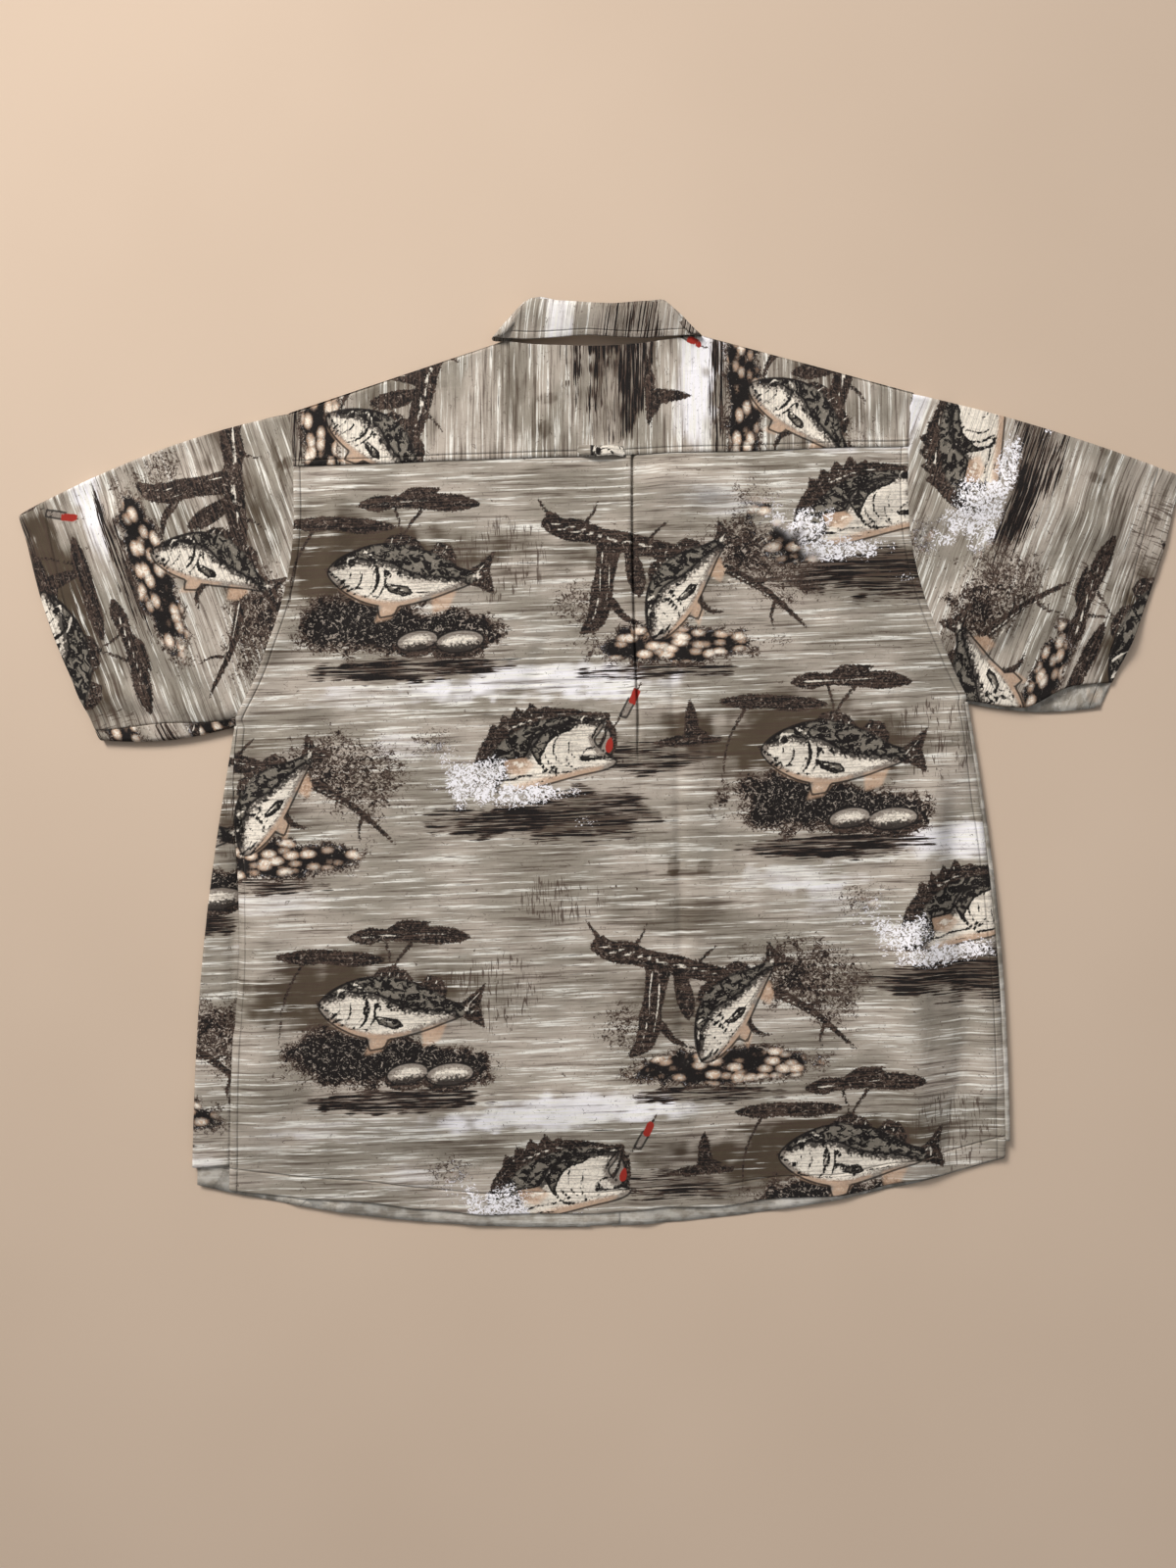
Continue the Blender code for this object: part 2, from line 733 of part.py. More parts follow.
def main():
    clear_scene()
    make_collection()
    torso = add_empty("shirt", (0.0, 0.0, 0.0), (1.0, 0.0, 0.0))
    build_back(torso)
    build_yoke(torso)
    build_labels(torso)
    flaps = {side: front_axis(side, torso) for side in (LEFT, RIGHT)}
    for side in (LEFT, RIGHT):
        build_side_seam(side, torso)
        build_shoulder_seam(side, torso)
        build_armhole_seams(side, torso)
        build_front_side(side, torso)
        build_front_centre(side, flaps[side])
        build_collar_front(side, flaps[side])
        build_sleeve(side, sleeve_axis(side, torso))
    build_plackets(flaps)
    build_buttons(flaps[RIGHT])
    build_pocket(flaps[LEFT])
    build_collar_back(torso, leaf_axis(torso))
    build_loop(loop_axis(torso))
    centre_on_floor(torso)


main()
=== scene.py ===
"""The looks of a short-sleeved printed shirt that lies back-up with its fronts closed beneath it.

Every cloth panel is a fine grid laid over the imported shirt, lifted by one drape that all the
panels share, so that neighbours meet at their seams. The print is mixed in the materials from
plates of ink that each panel carries at its points.
"""

import logging
import math
from collections.abc import Iterable, Sequence
from dataclasses import dataclass, field
from enum import Enum
from functools import partial

import bpy
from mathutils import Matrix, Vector
import numpy as np


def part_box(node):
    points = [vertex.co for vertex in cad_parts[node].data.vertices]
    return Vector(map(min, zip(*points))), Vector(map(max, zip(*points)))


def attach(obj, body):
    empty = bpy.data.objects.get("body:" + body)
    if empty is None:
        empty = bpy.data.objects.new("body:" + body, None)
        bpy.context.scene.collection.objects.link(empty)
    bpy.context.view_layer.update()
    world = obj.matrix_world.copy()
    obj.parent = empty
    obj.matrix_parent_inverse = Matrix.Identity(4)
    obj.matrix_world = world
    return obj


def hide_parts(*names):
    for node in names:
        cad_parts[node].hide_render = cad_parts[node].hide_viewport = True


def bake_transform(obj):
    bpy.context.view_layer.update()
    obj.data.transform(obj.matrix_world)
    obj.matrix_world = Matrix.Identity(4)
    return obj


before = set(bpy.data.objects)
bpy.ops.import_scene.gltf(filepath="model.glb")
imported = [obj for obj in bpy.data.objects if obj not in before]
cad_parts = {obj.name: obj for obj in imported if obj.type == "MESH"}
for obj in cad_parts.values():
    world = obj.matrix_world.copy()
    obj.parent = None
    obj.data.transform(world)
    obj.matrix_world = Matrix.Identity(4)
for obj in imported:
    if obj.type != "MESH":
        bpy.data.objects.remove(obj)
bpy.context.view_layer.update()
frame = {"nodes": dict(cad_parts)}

Array = np.ndarray
Point = tuple[float, float]
log = logging.getLogger("shirt")


class Side(Enum):
    """The two sides of the lying shirt, by the sign of x."""

    LEFT = -1
    RIGHT = 1

    @property
    def label(self) -> str:
        """The side's name in piece and body names."""
        return self.name.lower()


# Small sums


def ease(t: Array | float) -> Array | float:
    """A smooth step from 0 to 1 as t goes from 0 to 1."""
    t = np.clip(t, 0.0, 1.0)
    return t * t * (3.0 - 2.0 * t)


def between(a: Array | float, b: Array | float, t: Array | float) -> Array | float:
    """The value a share t of the way from a to b."""
    return a + (b - a) * t


def joined(x: Array, y: Array, z: Array | float) -> Array:
    """Points from their three measures, each spread to the same rows and columns."""
    return np.stack(np.broadcast_arrays(x, y, z), axis=-1)


def spun(x: Array | float, y: Array | float, degrees: float) -> tuple[Array | float, Array | float]:
    """A place turned anticlockwise about the middle."""
    c, s = math.cos(math.radians(degrees)), math.sin(math.radians(degrees))
    return c * x - s * y, s * x + c * y


def scatter(i: Array, j: Array, seed: int) -> Array:
    """A fixed number from -1 to 1 for each whole pair i, j.

    Args:
        i: Whole numbers across.
        j: Whole numbers along.
        seed: Which numbers.

    Returns:
        A number for each pair, the same each run.
    """
    h = (i * 374761393 + j * 668265263 + seed * 974634777) & 0xFFFFFFFF
    h = ((h ^ (h >> 13)) * 1274126177) & 0xFFFFFFFF
    return ((h ^ (h >> 16)) & 0xFFFF) / 32767.5 - 1.0


def ripple(x: Array, y: Array, seed: int) -> Array:
    """Smooth noise of unit cell size, from -1 to 1.

    Args:
        x: Places across, in cells.
        y: Places along, in cells.
        seed: Which noise.

    Returns:
        The noise at each place.
    """
    i, j = np.floor(x).astype(np.int64), np.floor(y).astype(np.int64)
    u, v = ease(x - i), ease(y - j)
    low = between(scatter(i, j, seed), scatter(i + 1, j, seed), u)
    high = between(scatter(i, j + 1, seed), scatter(i + 1, j + 1, seed), u)
    return between(low, high, v)


def ruffle(x: Array, y: Array, cell: float, seed: int, octaves: int = 3) -> Array:
    """Layered smooth noise.

    Args:
        x: Places across, in metres.
        y: Places along, in metres.
        cell: The size of the largest cell, in metres.
        seed: Which noise.
        octaves: How many layers, each half the size and half the strength of the last.

    Returns:
        The noise at each place, from about -1 to 1.
    """
    total, strength = np.zeros(np.shape(x)), 1.0
    for layer in range(octaves):
        scale = 2.0**layer / cell
        total = total + strength * ripple(x * scale + 7.3 * layer, y * scale, seed + layer)
        strength *= 0.5
    return total / 1.6


def near_path(x: Array, y: Array, path: Sequence[Point], closed: bool = False) -> Array:
    """The distance from each place to a run of straight lines.

    Args:
        x: Places across.
        y: Places along.
        path: The run's corners.
        closed: Whether its last corner joins its first.

    Returns:
        The distance of each place.
    """
    best = np.full(np.shape(x), 1e9)
    ends = list(path[1:]) + ([path[0]] if closed else [])
    for (ax, ay), (bx, by) in zip(path, ends):
        dx, dy = bx - ax, by - ay
        t = np.clip(((x - ax) * dx + (y - ay) * dy) / max(dx * dx + dy * dy, 1e-12), 0, 1)
        best = np.minimum(best, np.hypot(x - ax - t * dx, y - ay - t * dy))
    return best


def inside(x: Array, y: Array, outline: Sequence[Point]) -> Array:
    """Whether each place is inside a closed outline.

    Args:
        x: Places across.
        y: Places along.
        outline: The outline's corners.

    Returns:
        True where a place is inside.
    """
    result = np.zeros(np.shape(x), bool)
    for (ax, ay), (bx, by) in zip(outline, list(outline[1:]) + [outline[0]]):
        if ay != by:
            crosses = (ay > y) != (by > y)
            result ^= crosses & (x < (bx - ax) * (y - ay) / (by - ay) + ax)
    return result


def depth_in(x: Array, y: Array, outline: Sequence[Point]) -> Array:
    """How far inside a closed outline each place is, negative outside it."""
    far = near_path(x, y, outline, closed=True)
    return np.where(inside(x, y, outline), far, -far)


def rounded(points: Sequence[Point], steps: int = 4) -> list[Point]:
    """A closed outline drawn smoothly through the points.

    Args:
        points: The corners.
        steps: How many short lines stand for each side.

    Returns:
        The smooth outline's corners.
    """
    out, n = [], len(points)
    for i in range(n):
        p0, p1, p2, p3 = (np.array(points[(i + k) % n], float) for k in (-1, 0, 1, 2))
        for k in range(steps):
            t = k / steps
            q = 0.5 * (
                2 * p1 + (p2 - p0) * t + (2 * p0 - 5 * p1 + 4 * p2 - p3) * t * t + (
                    3 * p1 - p0 - 3 * p2 + p3
                ) * t**3
            )
            out.append((float(q[0]), float(q[1])))
    return out


# The shirt's own lines


@dataclass(frozen=True)
class ShirtLines:
    """The cut of the shirt, in metres, from the middle of its back neck (y = 0) down.

    Each line is given where it lies in the frame: the shirt lies a little askew.
    """

    neck_half: float = 0.090
    neck_dip: float = 0.009
    shoulder_half: float = 0.286
    shoulder_drop: float = 0.060
    yoke_depth: float = 0.110
    armhole_depth: float = 0.287
    armhole_bow: float = 0.028
    underarm_half: float = 0.338
    side_length: float = 0.404
    side_flare: float = 0.009
    hem_half: float = 0.377
    hem_dip: float = 0.052
    front_extra: float = 0.016
    sleeve_reach: float = 0.250
    sleeve_drop: float = 0.085
    cuff_opening: float = 0.210
    cuff_taper: float = 0.075
    askew: float = 0.033
    loop_half: float = 0.022
    loop_width: float = 0.009

    @property
    def neck_y(self) -> float:
        """Where the neck line lies in the frame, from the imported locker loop."""
        top = float(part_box("locker_loop")[1][1])
        return top + self.yoke_depth - self.loop_width + 0.0003 - self.askew * self.loop_half

    def lay(self, x: Array | float, y: Array | float) -> tuple[Array | float, Array | float]:
        """A place on the cut, where it lies in the frame."""
        return x, y + self.neck_y + self.askew * x

    @property
    def underarm_y(self) -> float:
        """How far down the underarm is."""
        return -self.shoulder_drop - self.armhole_depth

    @property
    def corner_y(self) -> float:
        """How far down the side seam meets the hem."""
        return self.underarm_y - self.side_length

    def tip(self, side: Side) -> Array:
        """The shoulder's outer end."""
        return np.array([side.value * self.shoulder_half, -self.shoulder_drop])

    def underarm(self, side: Side) -> Array:
        """Where the sleeve, the back and the front meet below the arm."""
        return np.array([side.value * self.underarm_half, self.underarm_y])

    def outward(self, side: Side) -> Array:
        """The direction across the sleeve's fold line, away from the body.

        Args:
            side: Which sleeve.

        Returns:
            A direction of length 1.
        """
        run = self.underarm(side) - self.tip(side)
        normal = np.array([-run[1], run[0]]) * side.value
        return normal / np.hypot(*normal)

    def armhole_bow_at(self, side: Side, t: Array) -> Array:
        """How the armhole's edge bows in from the fold line, at shares t from the tip down."""
        return -self.armhole_bow * np.sin(np.pi * t)[..., None] * self.outward(side)

    def armhole(self, side: Side, t: Array) -> Array:
        """The armhole's edge, at shares t from the tip down."""
        line = between(self.tip(side), self.underarm(side), np.asarray(t)[..., None])
        return line + self.armhole_bow_at(side, np.asarray(t))

    def half_width(self, y: Array) -> Array:
        """Half of the back's width at each height: armhole above, side seam below.

        Args:
            y: Heights on the cut.

        Returns:
            The half width at each height.
        """
        t = np.linspace(0.0, 1.0, 60)
        arm = self.armhole(Side.RIGHT, t)
        flank_x = between(self.underarm_half, self.hem_half, t) + self.side_flare * np.sin(np.pi * t)
        flank_y = self.underarm_y - self.side_length * t
        ys, xs = np.concatenate([arm[:, 1], flank_y[1:]]), np.concatenate([arm[:, 0], flank_x[1:]])
        return np.interp(y, ys[::-1], xs[::-1])

    def hem_drop(self, x: Array) -> Array:
        """How far the hem lies below the side seams' ends."""
        share = np.minimum(1.0, np.abs(x) / self.hem_half)
        return -self.hem_dip * (1.0 - share**2)

    def cuff(self, side: Side) -> tuple[Array, Array]:
        """The cuff's upper and lower ends."""
        top = self.tip(side) + np.array([side.value * self.sleeve_reach, -self.sleeve_drop])
        return top, top - np.array([side.value * self.cuff_taper, self.cuff_opening])

    def neck(self, x: Array) -> Array:
        """The back neckline's height at each x."""
        return -self.neck_dip * (1.0 - np.minimum(1.0, np.abs(x) / self.neck_half) ** 2)

    def shoulder_y(self, x: Array) -> Array:
        """The shoulder line's height at each x."""
        share = (np.abs(x) - self.neck_half) / (self.shoulder_half - self.neck_half)
        return -self.shoulder_drop * np.clip(share, 0.0, 1.0)


# How the cloth lies


@dataclass(frozen=True)
class Crease:
    """A fold that rises from, or sinks into, the lying cloth, in metres in the frame."""

    path: tuple[Point, ...]
    height: float
    width: float

    def lift(self, x: Array, y: Array) -> Array:
        """How much the crease lifts each place."""
        return self.height * np.exp(-((near_path(x, y, self.path) / self.width) ** 2))


@dataclass
class Drape:
    """The heights of the upper and lower cloth of the lying shirt."""

    lines: ShirtLines
    plateau: float = 0.0128
    fold_round: float = 0.0036
    rest: float = 0.0008
    open_lift: float = 0.0048
    creases: tuple[Crease, ...] = (
        Crease(((0.060, 0.262), (0.120, 0.252), (0.175, 0.215), (0.235, 0.165)), 0.0042, 0.017),
        Crease(((0.100, 0.236), (0.160, 0.190), (0.200, 0.140)), -0.0022, 0.012),
        Crease(((0.262, 0.250), (0.215, 0.215), (0.160, 0.205)), 0.0020, 0.013),
        Crease(((0.335, 0.040), (0.300, -0.060), (0.283, -0.220), (0.290, -0.360)), 0.0050, 0.020),
        Crease(((0.318, 0.010), (0.330, -0.120), (0.337, -0.250), (0.330, -0.350)), -0.0030, 0.012),
        Crease(((0.352, -0.060), (0.362, -0.180), (0.360, -0.300)), 0.0026, 0.012),
        Crease(((0.062, 0.120), (0.070, 0.020), (0.073, -0.120), (0.074, -0.270)), -0.0016, 0.0045),
        Crease(((0.080, 0.110), (0.092, -0.040), (0.090, -0.240)), 0.0016, 0.018),
        Crease(((-0.331, -0.060), (-0.336, -0.150), (-0.338, -0.240)), -0.0034, 0.007),
        Crease(((-0.300, 0.010), (-0.306, -0.120), (-0.318, -0.330)), 0.0030, 0.022),
        Crease(((-0.050, 0.110), (-0.070, 0.060), (-0.060, 0.000)), -0.0014, 0.010),
        Crease(((-0.250, 0.060), (-0.160, 0.020), (-0.060, 0.036)), 0.0014, 0.030),
        Crease(((-0.200, -0.330), (-0.080, -0.300), (0.060, -0.335)), 0.0018, 0.028),
        Crease(((-0.300, 0.110), (-0.250, 0.160), (-0.240, 0.240)), 0.0018, 0.014),
        Crease(((-0.330, 0.050), (-0.400, 0.110), (-0.440, 0.220)), 0.0026, 0.018),
        Crease(((-0.345, 0.045), (-0.420, 0.062), (-0.500, 0.060)), 0.0022, 0.013),
        Crease(((-0.300, 0.250), (-0.370, 0.255), (-0.450, 0.225)), 0.0018, 0.016),
        Crease(((0.318, 0.235), (0.380, 0.250), (0.460, 0.215)), 0.0026, 0.018),
        Crease(((0.335, 0.150), (0.400, 0.150), (0.500, 0.110)), 0.0022, 0.022),
        Crease(((0.345, 0.090), (0.380, 0.110), (0.410, 0.180)), -0.0020, 0.012),
        Crease(((0.290, 0.330), (0.315, 0.250), (0.325, 0.170)), -0.0014, 0.010),
    )
    _folds: list[list[Point]] = field(default_factory=list)
    _opens: list[list[Point]] = field(default_factory=list)

    def __post_init__(self) -> None:
        """Works out where the cloth turns under and where it ends open."""
        cut = self.lines
        for side in Side:
            xs = side.value * np.linspace(cut.neck_half, cut.shoulder_half, 6)
            ys = np.linspace(cut.underarm_y, cut.corner_y, 12)
            flank = [cut.lay(side.value * float(cut.half_width(y)), y) for y in ys]
            sleeve = SleeveShape(cut, side)
            s = np.linspace(0.0, 1.0, 9)
            self._folds.append([cut.lay(x, float(cut.shoulder_y(x))) for x in xs])
            self._folds.append([cut.lay(*p) for p in sleeve.top_edge(s)])
            self._folds.append([cut.lay(*p) for p in sleeve.under_edge(s)])
            self._folds.append(flank)
            self._opens.append([cut.lay(*p) for p in sleeve.place(np.ones(7), np.linspace(0, 1, 7))])
        xs = np.linspace(-cut.hem_half, cut.hem_half, 25)
        self._opens.append([cut.lay(x, cut.corner_y + float(cut.hem_drop(x))) for x in xs])

    def folded(self, x: Array, y: Array) -> Array:
        """The distance to the nearest edge where the cloth turns under."""
        return np.minimum.reduce([near_path(x, y, path) for path in self._folds])

    def opened(self, x: Array, y: Array) -> Array:
        """The distance to the nearest hem or cuff."""
        return np.minimum.reduce([near_path(x, y, path) for path in self._opens])

    def top(self, x: Array, y: Array) -> Array:
        """The height of the upper cloth.

        Args:
            x: Places across, in the frame.
            y: Places along, in the frame.

        Returns:
            The height of the cloth's outer face at each place.
        """
        fold, end = self.folded(x, y), self.opened(x, y)
        r = self.fold_round
        turn = np.sqrt(np.maximum(0.0, r * r - (r - np.minimum(fold, r)) ** 2))
        edge = self.rest + r + turn
        loft = (self.plateau - edge) * ease((fold - r * 0.5) / 0.085)
        height = edge + loft
        height = height - (height - self.open_lift) * (1.0 - ease(end / 0.11)) * ease(fold / 0.03)
        soft = ruffle(x * 1.2, y * 0.55, 0.085, 11) * 0.0024 + ruffle(x, y, 0.030, 23) * 0.0010
        waves = ruffle(x, y * 0.25, 0.050, 31, 2) * 0.0028 * (1.0 - ease(end / 0.07))
        shaped = 1.7 * sum(crease.lift(x, y) for crease in self.creases)
        calm = ease((fold - 0.001) / 0.014)
        return np.maximum(height + (soft + waves + shaped) * calm, 0.0032)

    def bottom(self, x: Array, y: Array) -> Array:
        """The height of the lower cloth's inner face.

        Args:
            x: Places across, in the frame.
            y: Places along, in the frame.

        Returns:
            The height at each place.
        """
        end = self.opened(x, y)
        wave = ruffle(x, y * 0.3, 0.060, 47, 2) * 0.0010 + 0.0010
        return 0.0022 + wave * (1.0 - ease(end / 0.06))


@dataclass(frozen=True)
class SleeveShape:
    """Where the sleeve's points lie: across it from the seam below to the fold above."""

    lines: ShirtLines
    side: Side
    top_bulge: tuple[float, float] = (0.012, 0.006)
    cuff_bulge: float = 0.0085
    under_sag: float = 0.006

    def place(self, along: Array, across: Array) -> Array:
        """The plan place at shares along from armhole to cuff and across from below to above.

        Args:
            along: Shares from the armhole, 0, to the cuff, 1.
            across: Shares from the lower edge, 0, to the upper, 1.

        Returns:
            Each place on the cut.
        """
        cut, side = self.lines, self.side
        along, across = np.broadcast_arrays(np.asarray(along, float), np.asarray(across, float))
        top, bottom = cut.cuff(side)
        high = between(cut.tip(side), top, along[..., None])
        low = between(cut.underarm(side), bottom, along[..., None])
        spot = between(low, high, across[..., None])
        spot = spot + (1 - along[..., None]) ** 1.3 * cut.armhole_bow_at(side, 1.0 - across)
        bulge = self.top_bulge[0 if side is Side.LEFT else 1]
        rise = bulge * np.sin(np.pi * np.clip(along, 0, 1)) ** 0.8 * ease((across - 0.55) / 0.45)
        sag = self.under_sag * np.sin(np.pi * np.clip(along, 0, 1)) * ease((0.35 - across) / 0.35)
        out = self.cuff_bulge * np.sin(np.pi * across) * ease((along - 0.6) / 0.4)
        return spot + np.stack([side.value * out, rise - sag], axis=-1)

    def top_edge(self, along: Array) -> Array:
        """The folded upper edge."""
        return self.place(along, np.ones(np.shape(along)))

    def under_edge(self, along: Array) -> Array:
        """The seamed lower edge."""
        return self.place(along, np.zeros(np.shape(along)))


# The print


class Plate(Enum):
    """One field of the print, kept at every point of a printed panel."""

    INK = ("inks", 0)
    CREAM = ("inks", 1)
    PEACH = ("inks", 2)
    RED = ("inks", 3)
    WEED = ("washes", 0)
    DASH = ("washes", 1)
    FOAM = ("washes", 2)
    TONE = ("washes", 3)
    CHALK = ("marks", 0)
    BARK = ("marks", 1)
    REED = ("marks", 2)
    SEAM = ("marks", 3)


# The plates that keep a drawn shape's depth in millimetres; the others keep a strength.
DRAWN = (Plate.INK, Plate.CREAM, Plate.PEACH, Plate.RED, Plate.CHALK, Plate.BARK)
# How far in and out of a shape its depth is kept, how far a scene reaches each way and half of
# the drawn fish, all in millimetres.
FURTHEST = 12.0
SCENE_REACH = (260.0, 200.0)
FISH_HALF = 75.0
MM_PER_M = 1000.0
# How much a wash's edge wanders, and the most that washes over each other come to.
RAGGED = 0.26
FULLEST_WASH = 1.15
# The distance between a panel's two faces, in metres, and how far apart the faces' prints lie.
CLOTH = 0.0005
STIFF_CLOTH = 0.0006
FACE_APART = 0.1


@dataclass(frozen=True)
class Shape:
    """A drawn shape of one ink: an outline in millimetres, smooth or with corners."""

    plate: Plate
    points: tuple[Point, ...]
    smooth: bool = True


@dataclass(frozen=True)
class Wash:
    """A soft-edged patch of one plate: an ellipse in millimetres."""

    plate: Plate
    middle: Point
    reach: Point
    strength: float = 1.0
    turn: float = 0.0
    softness: float = 0.45


@dataclass(frozen=True)
class Motif:
    """One scene of the print, as shapes and washes about its own middle."""

    shapes: tuple[Shape, ...]
    washes: tuple[Wash, ...]

    def turned(self, degrees: float, shift: Point, bend: float = 0.0, size: float = 1.0) -> "Motif":
        """The motif's shapes bent, sized, turned and moved, as when one fish serves for two scenes.

        Args:
            degrees: How far to turn it, anticlockwise.
            shift: Where its middle goes, in millimetres.
            bend: How far its ends drop, in millimetres at 75 mm out.
            size: Its size against the first drawing.

        Returns:
            The new motif.
        """

        def move(p: Point) -> Point:
            """Where one place of the motif goes.

            Args:
                p: The place.

            Returns:
                The new place.
            """
            x, y = spun(p[0] * size, (p[1] - bend * (p[0] / FISH_HALF) ** 2) * size, degrees)
            return x + shift[0], y + shift[1]

        shapes = tuple(Shape(a.plate, tuple(move(p) for p in a.points), a.smooth) for a in self.shapes)
        washes = tuple(
            Wash(
                w.plate, move(w.middle), (w.reach[0] * size, w.reach[1] * size), w.strength, w.turn + degrees,
                w.softness,
            )
            for w in self.washes
        )
        return Motif(shapes, washes)

    def __add__(self, other: "Motif") -> "Motif":
        """Both motifs together, the other drawn over this one."""
        return Motif(self.shapes + other.shapes, self.washes + other.washes)


def arc(middle: Point, radius: float, start: float, end: float, width: float) -> tuple[Point, ...]:
    """A crescent that is thickest at its middle, for gill covers and rims.

    Args:
        middle: The circle's middle, in millimetres.
        radius: Its radius.
        start: Where the crescent starts, in degrees.
        end: Where it ends.
        width: Its greatest width.

    Returns:
        The outline.
    """
    angles = np.radians(np.linspace(start, end, 7))
    outer = [(middle[0] + radius * math.cos(a), middle[1] + radius * math.sin(a)) for a in angles]
    thin = radius - width * np.sin(np.linspace(0.15, math.pi - 0.15, 7))
    inner = [(middle[0] + r * math.cos(a), middle[1] + r * math.sin(a)) for a, r in zip(angles, thin)]
    return tuple(outer + inner[::-1])


def oval(middle: Point, reach: Point, turn: float = 0.0) -> tuple[Point, ...]:
    """An ellipse's outline.

    Args:
        middle: Its middle, in millimetres.
        reach: Half its width and half its height.
        turn: How far it is turned, in degrees.

    Returns:
        The outline.
    """
    angles = np.linspace(0, 2 * math.pi, 11)[:-1]
    ring = (spun(reach[0] * math.cos(a), reach[1] * math.sin(a), turn) for a in angles)
    return tuple((middle[0] + x, middle[1] + y) for x, y in ring)


def stroke(start: Point, end: Point, width: float, bow: float = 0.0) -> tuple[Point, ...]:
    """A thin bowed stroke that tapers to its end.

    Args:
        start: Where it starts, in millimetres.
        end: Where it ends.
        width: Its width at the start.
        bow: How far its middle bows to the left.

    Returns:
        The outline.
    """
    dx, dy = end[0] - start[0], end[1] - start[1]
    long = math.hypot(dx, dy)
    nx, ny = -dy / long, dx / long
    mid = ((start[0] + end[0]) / 2 + nx * bow, (start[1] + end[1]) / 2 + ny * bow)
    w = width / 2
    return (
        (start[0] - nx * w, start[1] - ny * w), (mid[0] - nx * w * 0.8, mid[1] - ny * w * 0.8),
        (end[0] - nx * w * 0.3, end[1] - ny * w * 0.3), (end[0] + nx * w * 0.3, end[1] + ny * w * 0.3),
        (mid[0] + nx * w * 0.8, mid[1] + ny * w * 0.8), (start[0] + nx * w, start[1] + ny * w),
    )


# A shape of each ink and a wash of each kind, by a short name.
ink, cream, peach, red, chalk, bark = (
    partial(Shape, plate) for plate in (
        Plate.INK, Plate.CREAM, Plate.PEACH, Plate.RED, Plate.CHALK, Plate.BARK
    )
)
tone, weed, dash, foam, reed = (
    partial(Wash, plate) for plate in (Plate.TONE, Plate.WEED, Plate.DASH, Plate.FOAM, Plate.REED)
)


def lake_fish() -> Motif:
    """A lake fish that faces left, 150 mm long.

    Returns:
        The motif.
    """
    body = (
        (-75, 0), (-66, 12), (-50, 22), (-28, 29), (0, 28), (22, 21), (42, 10), (56, 5), (56, -4), (38, -12),
        (14, -21), (-12, -27), (-36, -26), (-56, -19), (-69, -10),
    )
    back = (
        (-69, 9), (-50, 23), (-28, 30), (0, 29), (22, 22), (42, 11), (58, 5), (56, -1), (36, 0), (14, 1),
        (-4, 5), (-16, 11), (-28, 14), (-40, 13), (-52, 14), (-62, 8),
    )
    shapes = (
        cream(body),
        peach(
            (
                (-66, -12), (-50, -18), (-32, -22), (-10, -23), (10, -19), (0, -24), (-14, -27), (-38, -26),
                (-56, -20),
            )
        ),
        ink(back), bark(back),
        ink(((50, 5), (60, 11), (77, 26), (72, 6), (78, -16), (62, -8), (50, -5)), False),
        ink(((-28, 28), (-21, 37), (-10, 40), (4, 36), (13, 25)), False),
        ink(((16, 23), (24, 33), (36, 30), (42, 18), (40, 10)), False),
        peach(((-24, -25), (-31, -42), (-17, -38), (-8, -26)), False),
        cream(((-30, -26), (-27, -38), (-14, -35), (-10, -26)), False),
        peach(((20, -17), (22, -32), (36, -27), (42, -11)), False),
        ink(oval((-54, 10), (3.4, 3.0))),
        ink(arc((-50, -1), 22, -62, 74, 3.6)),
        ink(arc((-56, -2), 12, -70, 60, 2.4)),
        ink(stroke((-77, 2), (-55, -7), 3.2, -2.5)),
        ink(stroke((-68, -11), (-38, -20), 2.2, -2.0)),
        ink(((-24, -6), (-2, -8), (4, -15), (-6, -18), (-20, -14)), False),
        *(ink(stroke((x, 4 - 0.05 * x), (x + 5, -2 - 0.05 * x), 4.2)) for x in (-22, -12, -1, 10, 21, 31, 40)),
        *(
            chalk(stroke((x, y), (x + 3, y + 9), 1.0))
            for x, y in ((-20, 28), (-12, 30), (-4, 30), (4, 28), (22, 24), (30, 22))
        ),
        *(chalk(stroke((57, 2), (x, y), 1.0)) for x, y in ((73, 18), (72, 8), (71, 0), (74, -9))),
        ink(arc((-50, -2), 17, -58, 60, 1.5)), ink(stroke((-70, 6), (-60, 2), 1.6, 1)),
        ink(stroke((-66, -6), (-50, -14), 1.4, -2)),
        ink(stroke((-38, -18), (-6, -21), 1.2, -1)), ink(stroke((6, -14), (34, -9), 1.2, -1)),
        ink(arc((-60, 0), 6, -60, 80, 1.8)), chalk(arc((-54, 10), 5.2, 0, 250, 1.4)),
        ink(arc((-48, -2), 26, -50, 40, 2.6)), ink(stroke((-62, -9), (-44, -12), 2.4, -2)),
        chalk(stroke((-44, 22), (-30, 13), 2.4, 1.0)),
        chalk(stroke((-20, -8), (0, -14), 1.8)),
        chalk(stroke((-58, 15), (-46, 17), 1.8)),
    )
    return Motif(shapes, ())


